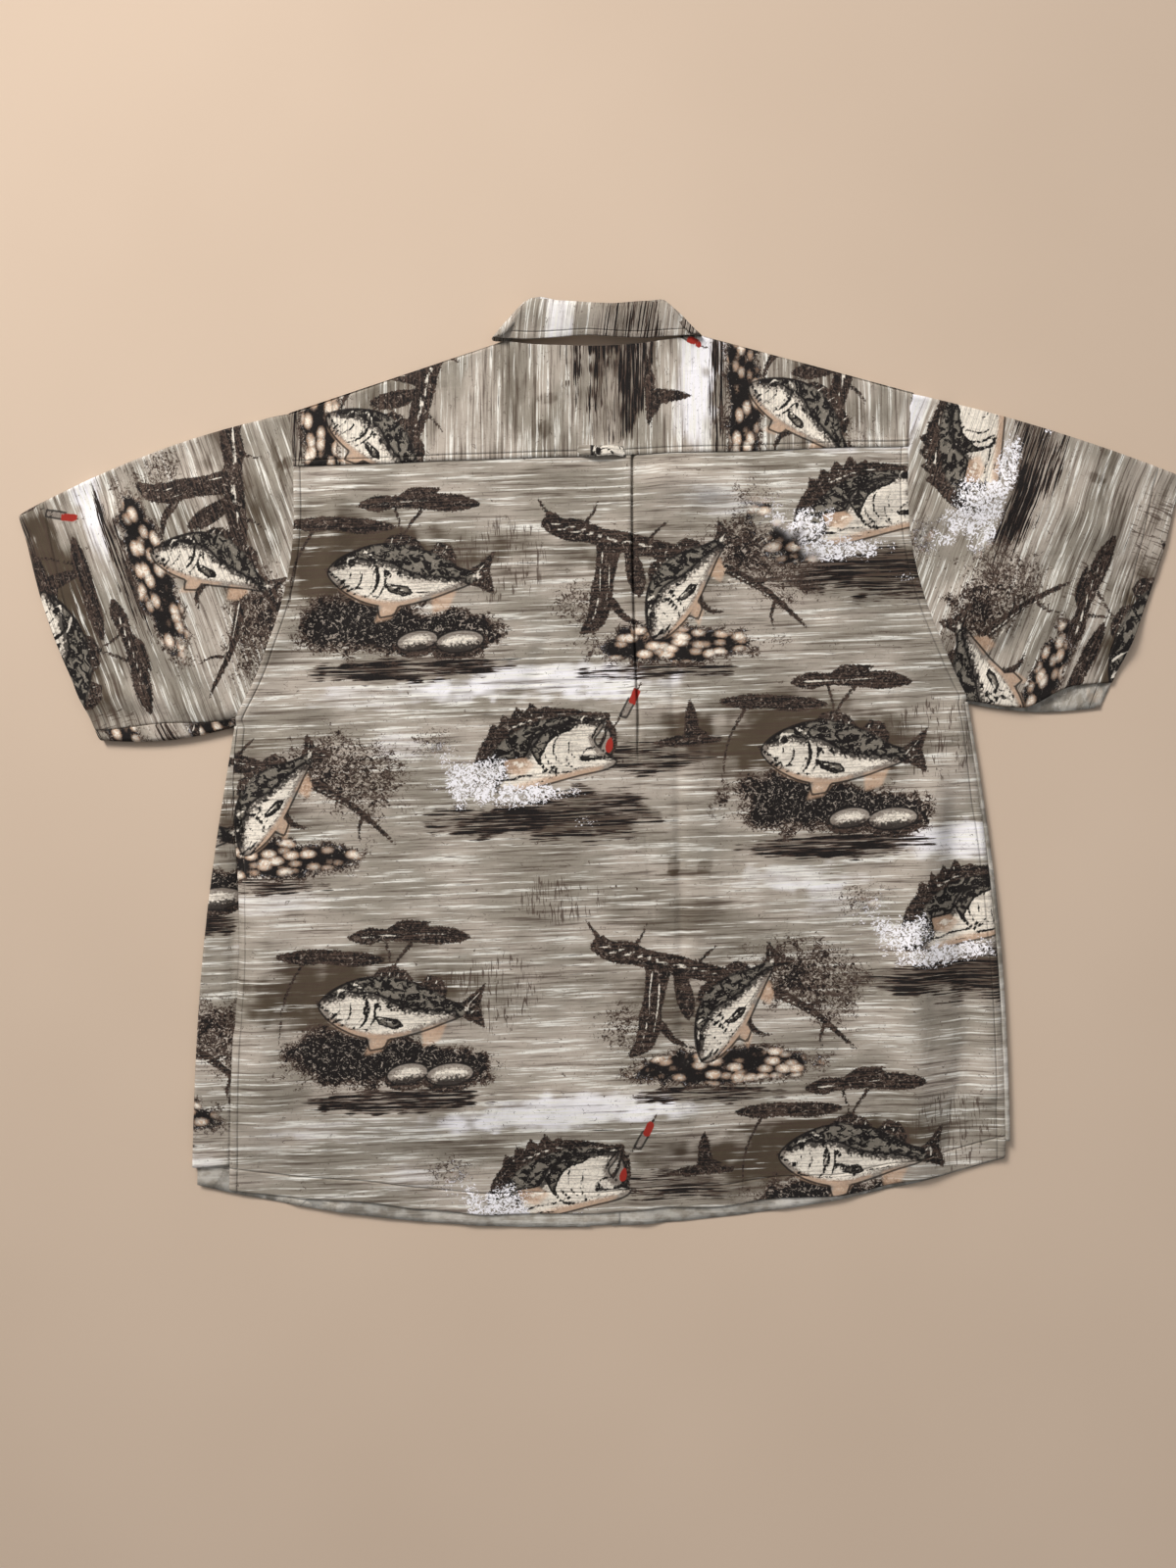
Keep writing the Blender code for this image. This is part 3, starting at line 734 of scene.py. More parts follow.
def stones_scene() -> Motif:
    """A fish over a mound of weed and two pale stones, under floating pads.

    Returns:
        The motif.
    """
    pads = (
        ink(
            (
                (-46, 77), (-28, 85), (-10, 84), (4, 91), (30, 89), (26, 85), (48, 83), (66, 73), (40, 68),
                (14, 71), (-12, 73), (-30, 70),
            )
        ),
        ink(((-112, 62), (-86, 67), (-54, 65), (-28, 62), (-12, 55), (-40, 50), (-68, 54), (-92, 54))),
        ink(stroke((-84, 60), (-112, -14), 2.2, -7)),
        ink(stroke((-14, 78), (-6, 46), 2.6, 1)),
        ink(stroke((14, 72), (-12, 36), 2.6, -2)),
        chalk(stroke((-30, 77), (40, 77), 1.6, 1)),
    )
    stones = (
        ink(oval((4, -52), (22, 12), 8)), ink(oval((43, -54), (26, 13), 5)),
        cream(oval((4, -49), (19, 9), 8)), cream(oval((43, -51), (22, 10), 5)),
        bark(oval((5, -62), (20, 6), 8)), bark(oval((44, -64), (23, 7), 5)),
    )
    washes = (
        tone((-62, 22), (124, 74), -1.05, 0, 1.0), tone((30, 20), (96, 44), -0.5, 0, 0.9),
        weed((-44, -32), (86, 42), 1.15, 0, 0.6), weed((34, -44), (64, 26), 1.1),
        dash((-8, -74), (112, 16), 1.1), reed((84, 22), (54, 46), 1.3, 0, 0.6),
        tone((-20, -100), (120, 18), 0.45),
    )
    return Motif(pads + stones, washes) + lake_fish().turned(-4, (0, 9), -2)


def driftwood_scene() -> Motif:
    """A fish that dives past a driftwood log, over pebbles and bushy weed.

    Returns:
        The motif.
    """
    trunk = (
        (-122, 62), (-112, 72), (-100, 66), (-88, 66), (-66, 57), (-44, 52), (-20, 45), (0, 38), (14, 26),
        (6, 18), (-12, 26), (-34, 31), (-50, 35), (-64, 38), (-80, 44), (-98, 46), (-112, 52),
    )
    leg = (
        (-70, 50), (-50, 44), (-53, 24), (-58, 4), (-60, -14), (-70, -34), (-90, -40), (-82, -22), (-79, -2),
        (-74, 16), (-72, 34),
    )
    wood = (
        ink(trunk), ink(leg), ink(((-46, 38), (-34, 30), (-28, 8), (-34, -8), (-44, 8))),
        ink(stroke((-108, 66), (-124, 86), 4, 2)), ink(stroke((-84, 60), (-70, 80), 3, -2)),
        ink(stroke((-24, 44), (-6, 60), 3, 1)), ink(stroke((-60, -10), (-30, -34), 7, -5)),
        ink(arc((36, -6), 19, 100, 290, 6)), ink(stroke((42, 18), (116, -38), 8, 5)),
        ink(stroke((74, 0), (104, 6), 3, 3)), ink(stroke((90, -16), (88, -40), 3, -3)),
    )
    grain = tuple(chalk(stroke(a, b, 1.3, bow)) for a, b, bow in (
        ((-112, 62), (-62, 49), 2), ((-104, 56), (-50, 42), 2), ((-58, 46), (-4, 32), 2),
        ((-40, 40), (-8, 34), 1), ((-66, 36), (-70, 0), -1),
        ((-60, 24), (-66, -16), 1), ((-72, -8), (-80, -32), 1), ((50, 12), (100, -26), 3),
        ((46, 6), (70, -8), 2),
    ))
    washes = (
        weed((-4, -52), (112, 24), 0.95), foam((-4, -52), (104, 20), 0.8),
        weed((88, 22), (66, 54), 0.62, -30, 0.7), weed((44, 34), (52, 44), 0.42, 0, 0.8),
        weed((-92, -14), (36, 30), 0.5, 0, 0.7), dash((-20, -76), (100, 12), 0.9),
        tone((-10, 20), (96, 54), -0.3), tone((-120, 30), (60, 34), -0.2), tone((0, -92), (120, 16), 0.4),
    )
    return Motif(wood + grain, washes) + lake_fish().turned(50, (8, 8), 13, 0.82)


def leaping_scene() -> Motif:
    """A big fish that leaps at a red float, out of foam and dark ripples.

    Returns:
        The motif.
    """
    head = (
        (-62, -34), (-50, -8), (-30, 10), (0, 23), (30, 27), (52, 24), (66, 22), (60, 10), (54, 2), (62, -10),
        (76, -20), (66, -28), (38, -33), (6, -40), (-24, -46), (-46, -46),
    )
    back = (
        (-72, -40), (-68, -12), (-54, 11), (-28, 28), (4, 36), (32, 35), (54, 30), (70, 29), (70, 22),
        (58, 21), (44, 22), (26, 20), (6, 15), (-8, 4), (-14, -8), (-22, -18), (-34, -22), (-46, -36),
        (-60, -46),
    )
    fish = (
        cream(head),
        peach(
            (
                (-36, -42), (-10, -36), (20, -31), (44, -27), (62, -25), (52, -31), (30, -35), (0, -41),
                (-26, -45),
            )
        ),
        ink(back), bark(back),
        ink(((68, 26), (77, 12), (77, -6), (70, -18), (64, -10), (58, -2), (64, 6), (66, 14)), False),
        ink(stroke((40, -16), (82, -21), 5, 2)), ink(stroke((52, 4), (68, 24), 2.4, 2)),
        cream(((60, -6), (66, 4), (67, 16), (71, 8), (71, -4), (66, -12)), False),
        red(((67, 0), (72, 4), (73, -6), (69, -12), (65, -8))),
        ink(arc((20, -6), 27, 108, 258, 4.4)), ink(arc((30, -6), 19, 112, 266, 2.6)),
        ink(arc((40, -4), 13, 130, 280, 2.0)), ink(stroke((8, -30), (44, -22), 2.4, -3)),
        ink(((-12, -4), (2, 12), (20, 19), (40, 20), (30, 12), (18, 9), (8, 2), (2, -8), (-4, -20)), False),
        ink(stroke((14, -26), (2, -4), 3.0, 3)), ink(stroke((30, -24), (24, -8), 2.4, 2)),
        ink(stroke((58, -4), (36, -16), 2.6, -3)), ink(stroke((-24, -30), (14, -24), 2.6, -3)),
        ink(stroke((-44, -34), (-16, -30), 3.2, -2)),
        ink(stroke((-20, -38), (10, -34), 1.8, -2)), ink(oval((47, 21), (3.6, 3.0))),
        ink(
            (
                (-54, 10), (-50, 24), (-42, 20), (-38, 33), (-30, 27), (-24, 40), (-16, 33), (-8, 44),
                (-2, 36), (8, 39), (12, 33),
            ),
            False,
        ),
        peach(((-40, -14), (-18, -12), (-8, -20), (-20, -30), (-36, -26)), False),
        *(chalk(stroke((-14, -18), (x, y), 1.4, 1)) for x, y in ((-40, -12), (-42, -19), (-38, -26))),
        chalk(arc((47, 22), 5.6, 20, 250, 1.5)), chalk(stroke((56, 22), (69, 26), 1.6)),
        chalk(stroke((50, -15), (78, -20), 1.6)), chalk(stroke((-30, 18), (24, 30), 1.6, 3)),
        *(chalk(stroke((x, y), (x - 7, y + 12), 1.0)) for x, y in ((-40, 14), (-30, 21), (-19, 27), (-8, 31))),
    )
    around = (
        cream(((70, 24), (76, 22), (84, 36), (79, 40)), False),
        red(((78, 36), (84, 33), (90, 46), (84, 50)), False),
        ink(stroke((66, 17), (78, 35), 1.6)), ink(stroke((87, 47), (91, 54), 1.6)),
        ink(((128, 4), (130, 24), (134, 38), (139, 28), (142, 10), (154, 4), (140, 1)), False),
        ink(((96, -3), (120, 4), (164, 1), (160, -3), (120, -6)), False),
    )
    washes = (
        tone((10, 60), (160, 26), 0.85, 2, 0.7), tone((-92, 24), (70, 18), -0.25),
        tone((112, 12), (64, 18), -0.4), tone((-130, 4), (60, 40), 0.5, 0, 0.8),
        foam((-62, -30), (56, 34), 0.95, 20, 0.9), foam((-16, -46), (70, 17), 0.85, 4, 0.8),
        foam((-94, -4), (34, 32), 0.55, 0, 0.9), foam((34, -72), (26, 12), 0.5, 0, 0.9),
        weed((-100, 4), (34, 26), 0.42, 0, 0.8), dash((26, -66), (116, 38), 0.95, 2, 0.6),
        dash((96, -14), (76, 22), 0.9),
        dash((-66, -68), (66, 18), 0.8), tone((30, -60), (90, 26), -0.4),
    )
    return Motif((), washes) + Motif(fish, ()).turned(1, (-3, 0), 0, 0.9) + Motif(around, ())


def open_water() -> Motif:
    """Dark ripples under a pale sky, with nothing in them."""
    return Motif(
        (),
        (
            dash((0, 0), (66, 50), 0.72, 0, 0.7), tone((0, 66), (90, 30), 0.7, 0, 0.8),
            tone((0, 0), (60, 34), -0.3),
        ),
    )


def far_shore() -> Motif:
    """A pale far boat and a stand of reeds, between the larger scenes.

    Returns:
        The motif.
    """
    boat = (
        tone((6, 6), (40, 5), -0.4, 0, 0.3), tone((-2, 16), (6, 12), -0.42, 0, 0.3),
        tone((26, 14), (9, 7), -0.38, 0, 0.3),
    )
    reeds = (reed((-104, -12), (54, 28), 0.9, 0, 0.6), tone((0, -30), (120, 30), -0.28))
    return Motif((), boat + reeds)


class Scene(Enum):
    """The scenes that the print repeats."""

    STONES = 0
    DRIFTWOOD = 1
    LEAPING = 2
    SHORE = 3
    WATER = 4


@dataclass(frozen=True)
class Spot:
    """Where one scene is printed on a panel, in metres."""

    scene: Scene
    x: float
    y: float
    turn: float = 0.0


@dataclass(frozen=True)
class Grain:
    """How the cloth of a panel is turned, and what falls on it."""

    turn: float
    middle: Point
    spots: tuple[Spot, ...]

    @classmethod
    def laid(cls, turn: float, *spots: Spot) -> "Grain":
        """A grain whose scenes are given where they lie in the frame.

        Args:
            turn: How far the cloth is turned, in degrees anticlockwise.
            spots: The scenes, in the frame.

        Returns:
            The grain, with its scenes in the cloth's own directions.
        """
        return cls(turn, (0.0, 0.0), tuple(Spot(a.scene, *spun(a.x, a.y, -turn), a.turn) for a in spots))

    def cloth_places(self, x: Array, y: Array) -> tuple[Array, Array]:
        """Where each place of the frame is on the printed cloth."""
        return spun(x - self.middle[0], y - self.middle[1], -self.turn)


class Print:
    """The printed cloth: works out every plate at every point of a panel."""

    def __init__(self) -> None:
        """Draws the scenes once."""
        drawn = {
            Scene.STONES: stones_scene(),
            Scene.DRIFTWOOD: driftwood_scene(),
            Scene.LEAPING: leaping_scene(),
            Scene.SHORE: far_shore(),
            Scene.WATER: open_water(),
        }
        self.motifs = {scene: self._smoothed(motif) for scene, motif in drawn.items()}

    @staticmethod
    def _smoothed(motif: Motif) -> Motif:
        """The motif with its smooth shapes drawn as many short lines."""
        shapes = [
            Shape(s.plate, tuple(rounded(s.points)) if s.smooth else s.points, False) for s in motif.shapes
        ]
        return Motif(tuple(shapes), motif.washes)

    def plates(self, grain: Grain, x: Array, y: Array) -> dict[Plate, Array]:
        """The print's plates.

        Args:
            grain: How the panel's cloth lies and what is printed on it.
            x: Places across, in the frame.
            y: Places along, in the frame.

        Returns:
            Each plate's value at each place.
        """
        px, py = grain.cloth_places(x, y)
        result = {p: np.full(px.shape, -FURTHEST if p in DRAWN else 0.0) for p in Plate}
        ragged = ruffle(px, py, 0.012, 71, 2)
        for spot in grain.spots:
            motif = self.motifs[spot.scene]
            dx, dy = (px - spot.x) * MM_PER_M, (py - spot.y) * MM_PER_M
            near = (np.abs(dx) < SCENE_REACH[0]) & (np.abs(dy) < SCENE_REACH[1])
            if not near.any():
                continue
            mx, my = spun(dx[near], dy[near], -spot.turn)
            rough = ragged[near]
            for wash in motif.washes:
                result[wash.plate][near] += self._wash(wash, mx, my, rough)
            for shape in motif.shapes:
                self._draw(result, shape, mx, my, near)
        for soft in (Plate.DASH, Plate.WEED, Plate.FOAM):
            result[soft] = np.minimum(result[soft], FULLEST_WASH)
        return result

    @staticmethod
    def _wash(wash: Wash, x: Array, y: Array, rough: Array) -> Array:
        """How strong a wash is at each place.

        Args:
            wash: The wash.
            x: Places across the motif, in millimetres.
            y: Places along it.
            rough: How ragged its edge is at each place.

        Returns:
            Its strength at each place.
        """
        dx, dy = spun(x - wash.middle[0], y - wash.middle[1], -wash.turn)
        far = np.hypot(dx / wash.reach[0], dy / wash.reach[1])
        return wash.strength * ease((1.0 + RAGGED * rough - far) / wash.softness)

    @staticmethod
    def _draw(result: dict[Plate, Array], shape: Shape, x: Array, y: Array, near: Array) -> None:
        """Adds a shape to its plate, and clears from under it what it hides.

        Args:
            result: The plates so far, which it changes.
            shape: The shape.
            x: Places across the motif, in millimetres.
            y: Places along it.
            near: Which of the panel's points those places are.
        """
        xs, ys = [p[0] for p in shape.points], [p[1] for p in shape.points]
        m = FURTHEST
        close = (x > min(xs) - m) & (x < max(xs) + m) & (y > min(ys) - m) & (y < max(ys) + m)
        if not close.any():
            return
        depth = np.full(x.shape, -FURTHEST)
        depth[close] = np.clip(depth_in(x[close], y[close], shape.points), -m, m)
        plate = result[shape.plate]
        plate[near] = np.maximum(plate[near], depth)
        hides = {Plate.CREAM: (Plate.INK, Plate.CHALK), Plate.PEACH: (Plate.INK,)}.get(shape.plate, ())
        for other in hides:
            result[other][near] = np.minimum(result[other][near], np.maximum(-depth, -m))


# Finishes


def dye(red: int, green: int, blue: int) -> tuple[float, float, float, float]:
    """A colour from its everyday numbers, 0 to 255.

    Args:
        red: Its red part.
        green: Its green part.
        blue: Its blue part.

    Returns:
        The colour as a material takes it.
    """

    def one(value: int) -> float:
        """One of the colour's three parts, as light."""
        share = value / 255.0
        return share / 12.92 if share <= 0.04045 else ((share + 0.055) / 1.055) ** 2.4

    return one(red), one(green), one(blue), 1.0


class Recipe:
    """Builds one material's nodes."""

    def __init__(self, name: str) -> None:
        """Starts an empty material.

        Args:
            name: The material's name.
        """
        self.material = bpy.data.materials.new(name)
        self.material.use_nodes = True
        self.nodes, self.links = self.material.node_tree.nodes, self.material.node_tree.links
        self.shader = self.nodes["Principled BSDF"]
        self.shader.inputs["Metallic"].default_value = 0.0
        self.colour: bpy.types.NodeSocket | None = None

    def put(self, socket: bpy.types.NodeSocket, value: object) -> None:
        """Links or sets an input.

        Args:
            socket: The input.
            value: An output to link, a value to set, or None to leave it.
        """
        if isinstance(value, bpy.types.NodeSocket):
            self.links.new(value, socket)
        elif value is not None:
            socket.default_value = value

    def sum(
        self, kind: str, a: object, b: object = None, c: object = None, clamp: bool = False
    ) -> bpy.types.NodeSocket:
        """A Math node's result.

        Args:
            kind: The node's operation.
            a: Its first input.
            b: Its second input.
            c: Its third input.
            clamp: Whether the result stays from 0 to 1.

        Returns:
            The node's output.
        """
        node = self.nodes.new("ShaderNodeMath")
        node.operation, node.use_clamp = kind, clamp
        for socket, value in zip(node.inputs, (a, b, c)):
            self.put(socket, value)
        return node.outputs[0]

    def times(self, a: object, b: object) -> bpy.types.NodeSocket:
        """The product of a and b."""
        return self.sum("MULTIPLY", a, b)

    def plus(self, a: object, b: object) -> bpy.types.NodeSocket:
        """The sum of a and b."""
        return self.sum("ADD", a, b)

    def fit(self, a: object, b: object, c: object, clamp: bool = False) -> bpy.types.NodeSocket:
        """The product of a and b, with c added."""
        return self.sum("MULTIPLY_ADD", a, b, c, clamp)

    def coat(self, share: object, over: tuple[int, int, int], most: float = 1.0) -> None:
        """Lays a colour over the recipe's own colour.

        Args:
            share: Where it goes, from 0 to 1.
            over: The colour, in its everyday numbers.
            most: The most it covers.
        """
        share = share if most == 1.0 else self.times(share, most)
        self.colour = self.blend(share, self.colour, dye(*over))

    def step(self, value: object, low: object, high: object) -> bpy.types.NodeSocket:
        """0 below low and 1 above high, smooth between.

        Args:
            value: What is measured.
            low: Where the step starts.
            high: Where it ends; if below low, the step falls.

        Returns:
            The node's output.
        """
        node = self.nodes.new("ShaderNodeMapRange")
        node.interpolation_type = "SMOOTHSTEP"
        for name, given in (("Value", value), ("From Min", low), ("From Max", high)):
            self.put(node.inputs[name], given)
        return node.outputs[0]

    def blend(self, share: object, a: object, b: object, kind: str = "MIX") -> bpy.types.NodeSocket:
        """A mix of two colours.

        Args:
            share: How much of b there is.
            a: The first colour.
            b: The second colour.
            kind: How they mix.

        Returns:
            The node's output.
        """
        node = self.nodes.new("ShaderNodeMix")
        node.data_type, node.blend_type = "RGBA", kind
        for index, value in ((0, share), (6, a), (7, b)):
            self.put(node.inputs[index], value)
        return node.outputs[2]

    def grain(
        self, place: object, scale: tuple[float, float, float], detail: float = 3.0, rough: float = 0.55,
        twist: float = 0.0,
    ) -> bpy.types.NodeSocket:
        """Noise stretched by a scale on each axis.

        Args:
            place: Where the noise is read.
            scale: Cells for each metre, on each axis.
            detail: How many layers it has.
            rough: How strong the finer layers are.
            twist: How much it is bent.

        Returns:
            The noise, from 0 to 1.
        """
        node = self.nodes.new("ShaderNodeTexNoise")
        self.put(node.inputs["Vector"], self.stretched(place, scale))
        node.inputs["Scale"].default_value = 1.0
        node.inputs["Detail"].default_value = detail
        node.inputs["Roughness"].default_value = rough
        node.inputs["Distortion"].default_value = twist
        return node.outputs["Fac"]

    def stretched(self, place: object, scale: tuple[float, float, float]) -> bpy.types.NodeSocket:
        """A place multiplied by a scale on each axis.

        Args:
            place: The place.
            scale: The scale.

        Returns:
            The new place.
        """
        node = self.nodes.new("ShaderNodeVectorMath")
        node.operation = "MULTIPLY"
        self.put(node.inputs[0], place)
        node.inputs[1].default_value = scale
        return node.outputs[0]

    def cells(self, place: object, scale: tuple[float, float, float]) -> bpy.types.NodeSocket:
        """The distance to the middle of the nearest cell, from 0 to about 0.7.

        Args:
            place: Where the cells are read.
            scale: Cells for each metre, on each axis.

        Returns:
            The distance.
        """
        node = self.nodes.new("ShaderNodeTexVoronoi")
        self.put(node.inputs["Vector"], self.stretched(place, scale))
        node.inputs["Scale"].default_value = 1.0
        return node.outputs["Distance"]

    def attribute(self, name: str) -> bpy.types.Node:
        """A named attribute of the mesh.

        Args:
            name: The attribute's name.

        Returns:
            The node that reads it.
        """
        node = self.nodes.new("ShaderNodeAttribute")
        node.attribute_name = name
        return node

    def place(self) -> bpy.types.NodeSocket:
        """The object's own coordinates."""
        return self.nodes.new("ShaderNodeTexCoord").outputs["Object"]

    def weave(self, place: object, pitch: float) -> bpy.types.NodeSocket:
        """Crossing threads, from 0 to 1, a pitch in metres apart.

        Args:
            place: Where the threads are read.
            pitch: The distance between threads, in metres.

        Returns:
            How high the threads stand.
        """
        waves = []
        for direction in ("X", "Y"):
            node = self.nodes.new("ShaderNodeTexWave")
            node.bands_direction = direction
            self.put(node.inputs["Vector"], place)
            node.inputs["Scale"].default_value = 0.314 / pitch
            node.inputs["Distortion"].default_value = 0.6
            waves.append(node.outputs["Fac"])
        return self.times(waves[0], waves[1])

    def bump(self, height: object, strength: float, distance: float) -> None:
        """Puts the height into the shader's normal.

        Args:
            height: The height, from 0 to 1.
            strength: How strongly it shows.
            distance: What a height of 1 stands for, in metres.
        """
        node = self.nodes.new("ShaderNodeBump")
        node.inputs["Strength"].default_value = strength
        node.inputs["Distance"].default_value = distance
        self.put(node.inputs["Height"], height)
        self.links.new(node.outputs[0], self.shader.inputs["Normal"])

    def sheen(self, weight: float) -> None:
        """The soft edge-on light of brushed cloth."""
        self.shader.inputs["Sheen Weight"].default_value = weight
        self.shader.inputs["Sheen Roughness"].default_value = 0.5


@dataclass(frozen=True)
class PrintedCotton:
    """Light cotton printed with lake scenes; fade is how much of the dye the face has lost."""

    name: str = "printed_cotton"
    fade: float = 0.0
    ground: tuple[int, int, int] = (172, 160, 147)
    shade: tuple[int, int, int] = (140, 131, 118)
    streak: tuple[int, int, int] = (226, 221, 211)
    sky: tuple[int, int, int] = (234, 229, 231)
    olive: tuple[int, int, int] = (74, 62, 48)
    ink: tuple[int, int, int] = (20, 15, 14)
    umber: tuple[int, int, int] = (72, 56, 47)
    cream: tuple[int, int, int] = (232, 221, 205)
    peach: tuple[int, int, int] = (205, 168, 138)
    red: tuple[int, int, int] = (150, 40, 30)
    shadow: tuple[int, int, int] = (60, 52, 44)
    faded: tuple[tuple[int, int, int], ...] = ((150, 142, 130), (196, 190, 180))

    def make(self) -> bpy.types.Material:
        """The finished material.

        Returns:
            The material.
        """
        r = Recipe(self.name)
        cloth = r.attribute("cloth").outputs["Vector"]
        inks, washes, marks = (r.attribute(n) for n in ("inks", "washes", "marks"))
        split = {}
        for key, node in (("inks", inks), ("washes", washes), ("marks", marks)):
            parts = r.nodes.new("ShaderNodeSeparateColor")
            r.links.new(node.outputs["Color"], parts.inputs[0])
            split[key] = [*parts.outputs, node.outputs["Alpha"]]
        plate = {p: split[p.value[0]][p.value[1]] for p in Plate}

        broad = r.grain(cloth, (9.0, 22.0, 1.0), 3.0)
        brush = r.grain(cloth, (9.0, 250.0, 1.0), 4.0, 0.66, 0.25)
        hairs = r.grain(cloth, (22.0, 620.0, 1.0), 3.0, 0.62, 0.2)
        tufts = r.grain(cloth, (230.0, 260.0, 1.0), 3.0, 0.68, 1.6)
        specks = r.grain(cloth, (420.0, 420.0, 1.0), 2.0, 0.6, 0.4)
        tone = r.plus(plate[Plate.TONE], r.fit(broad, 1.0, -0.5))
        r.colour = r.blend(r.step(broad, 0.40, 0.64), dye(*self.shade), dye(*self.ground))
        mood = r.plus(tone, r.fit(brush, 1.3, -0.65))
        r.coat(r.step(mood, 0.30, 1.05), self.sky)
        r.coat(r.step(mood, -0.08, -0.80), self.olive)
        lift = r.fit(tone, 0.08, brush)
        pale = r.times(r.step(lift, 0.515, 0.60), r.step(hairs, 0.42, 0.55))
        r.coat(pale, self.streak, 0.92)
        dark = r.times(r.step(r.fit(tone, 0.06, brush), 0.49, 0.38), r.step(hairs, 0.58, 0.44))
        r.coat(dark, self.umber, 0.72)

        reed = r.grain(cloth, (340.0, 42.0, 1.0), 2.0, 0.6, 1.4)
        stems = r.times(r.step(reed, 0.56, 0.61), r.step(plate[Plate.REED], 0.15, 0.6))
        r.coat(stems, self.umber, 0.8)
        edge = r.fit(specks, 1.2, -0.6)
        dashes = r.plus(r.times(plate[Plate.DASH], 0.24), r.fit(hairs, 0.85, r.times(brush, 0.6)))
        r.coat(r.step(dashes, 0.90, 0.93), self.umber)
        r.coat(r.step(dashes, 0.95, 0.98), self.ink)
        weeds = r.plus(r.times(plate[Plate.WEED], 0.34), tufts)
        r.coat(r.step(weeds, 0.60, 0.74), self.umber)
        r.coat(r.step(weeds, 0.74, 0.84), self.ink)
        blades = r.times(r.step(plate[Plate.WEED], 0.35, 0.8), r.step(tufts, 0.44, 0.37))
        r.coat(blades, self.ground, 0.66)
        foam = r.plus(r.times(plate[Plate.FOAM], 0.34), r.fit(specks, 0.35, r.times(tufts, 0.65)))
        pebbled = r.times(r.step(plate[Plate.WEED], 0.25, 0.6), r.step(plate[Plate.FOAM], 0.2, 0.6))
        stones = r.fit(tufts, 0.7, r.cells(cloth, (66.0, 116.0, 1.0)))
        stone = r.blend(r.step(stones, 0.86, 0.48), dye(*self.umber), dye(*self.cream))
        stone = r.blend(r.times(r.step(tufts, 0.44, 0.62), 0.7), stone, dye(*self.peach))
        stone = r.blend(r.step(stones, 0.84, 0.94), stone, dye(*self.ink))
        r.colour = r.blend(r.times(pebbled, r.step(foam, 0.56, 0.66)), r.colour, stone)

        def drawn(which: Plate, roughness: float) -> bpy.types.NodeSocket:
            """Where a plate's shapes are, with an edge as rough as brushed ink."""
            value = r.plus(plate[which], r.times(edge, roughness))
            return r.step(value, -0.35, 0.45)

        scale = r.cells(cloth, (380.0, 460.0, 1.0))
        body = r.blend(r.times(r.step(tufts, 0.44, 0.64), 0.55), dye(*self.cream), dye(*self.ground))
        rim = r.fit(r.step(plate[Plate.CREAM], 10.0, 0.5), 0.50, r.times(tufts, 0.75))
        body = r.blend(r.times(r.step(rim, 0.48, 0.80), 0.72), body, dye(*self.umber))
        body = r.blend(r.times(r.step(hairs, 0.52, 0.38), 0.45), body, dye(*self.umber))
        near_ink = r.fit(
            r.step(plate[Plate.BARK], -11.0, 2.0), 0.62, r.fit(scale, 0.45, r.times(specks, 0.6))
        )
        body = r.blend(r.times(r.step(near_ink, 0.70, 0.90), 0.55), body, dye(*self.umber))
        body = r.blend(r.times(r.step(near_ink, 0.86, 0.98), 0.8), body, dye(*self.ink))
        outline = r.step(r.sum("ABSOLUTE", r.plus(plate[Plate.CREAM], 0.2)), 1.3, 0.5)
        r.colour = r.blend(drawn(Plate.CREAM, 0.6), r.colour, body)
        r.coat(r.times(r.step(plate[Plate.PEACH], -2.5, 1.6), r.fit(specks, 0.7, 0.2)), self.peach)
        r.coat(outline, self.ink, 0.85)
        on_fish = r.step(plate[Plate.CREAM], -2.5, 0.5)
        off_fish = r.sum("SUBTRACT", 1.0, on_fish)
        worn = r.times(off_fish, r.fit(tufts, 6.0, -2.7))
        inked = r.step(r.plus(r.plus(plate[Plate.INK], r.times(edge, 2.0)), worn), -0.35, 0.45)
        bark = r.step(r.fit(tufts, 0.6, r.times(hairs, 0.5)), 0.50, 0.62)
        r.colour = r.blend(
            inked, r.colour, r.blend(r.times(bark, off_fish), dye(*self.ink), dye(*self.umber))
        )
        mottle = r.grain(cloth, (120.0, 170.0, 1.0), 2.0, 0.6, 0.8)
        blotch = r.times(r.times(on_fish, r.step(mottle, 0.48, 0.57)), r.step(plate[Plate.INK], 0.8, 3.4))
        r.coat(blotch, self.shade, 0.62)
        scaled = r.times(r.times(on_fish, r.step(scale, 0.30, 0.12)), r.step(tufts, 0.40, 0.56))
        furrow = r.times(off_fish, r.step(tufts, 0.58, 0.70))
        flecks = r.times(r.sum("MAXIMUM", scaled, furrow), r.step(plate[Plate.INK], 0.6, 2.2))
        r.coat(flecks, self.ground, 0.62)
        spray = r.blend(r.step(tufts, 0.40, 0.54), dye(*self.shade), dye(*self.sky))
        r.colour = r.blend(
            r.times(r.step(foam, 0.70, 0.78), r.sum("SUBTRACT", 1.0, pebbled)), r.colour, spray
        )
        r.coat(drawn(Plate.CHALK, 1.6), self.cream, 0.85)
        r.coat(drawn(Plate.RED, 1.0), self.red)
        thread = r.weave(cloth, 0.0007)
        r.coat(thread, self.streak, 0.035)
        if self.fade:
            wash_out = r.blend(
                r.step(r.grain(cloth, (60.0, 90.0, 1.0), 3.0), 0.4, 0.62),
                *(dye(*tone) for tone in self.faded),
            )
            r.colour = r.blend(self.fade, r.colour, wash_out)
        # Painted shade: the shadow colour laid along seams, stitched lines and the cloth's turned edges.
        seam = r.step(plate[Plate.SEAM], 0.25, 0.95)
        r.coat(seam, self.shadow, 0.34)
        r.put(r.shader.inputs["Base Color"], r.colour)
        r.put(r.shader.inputs["Roughness"], r.fit(tufts, 0.16, 0.74))
        r.shader.inputs["Specular IOR Level"].default_value = 0.10
        r.sheen(0.03)
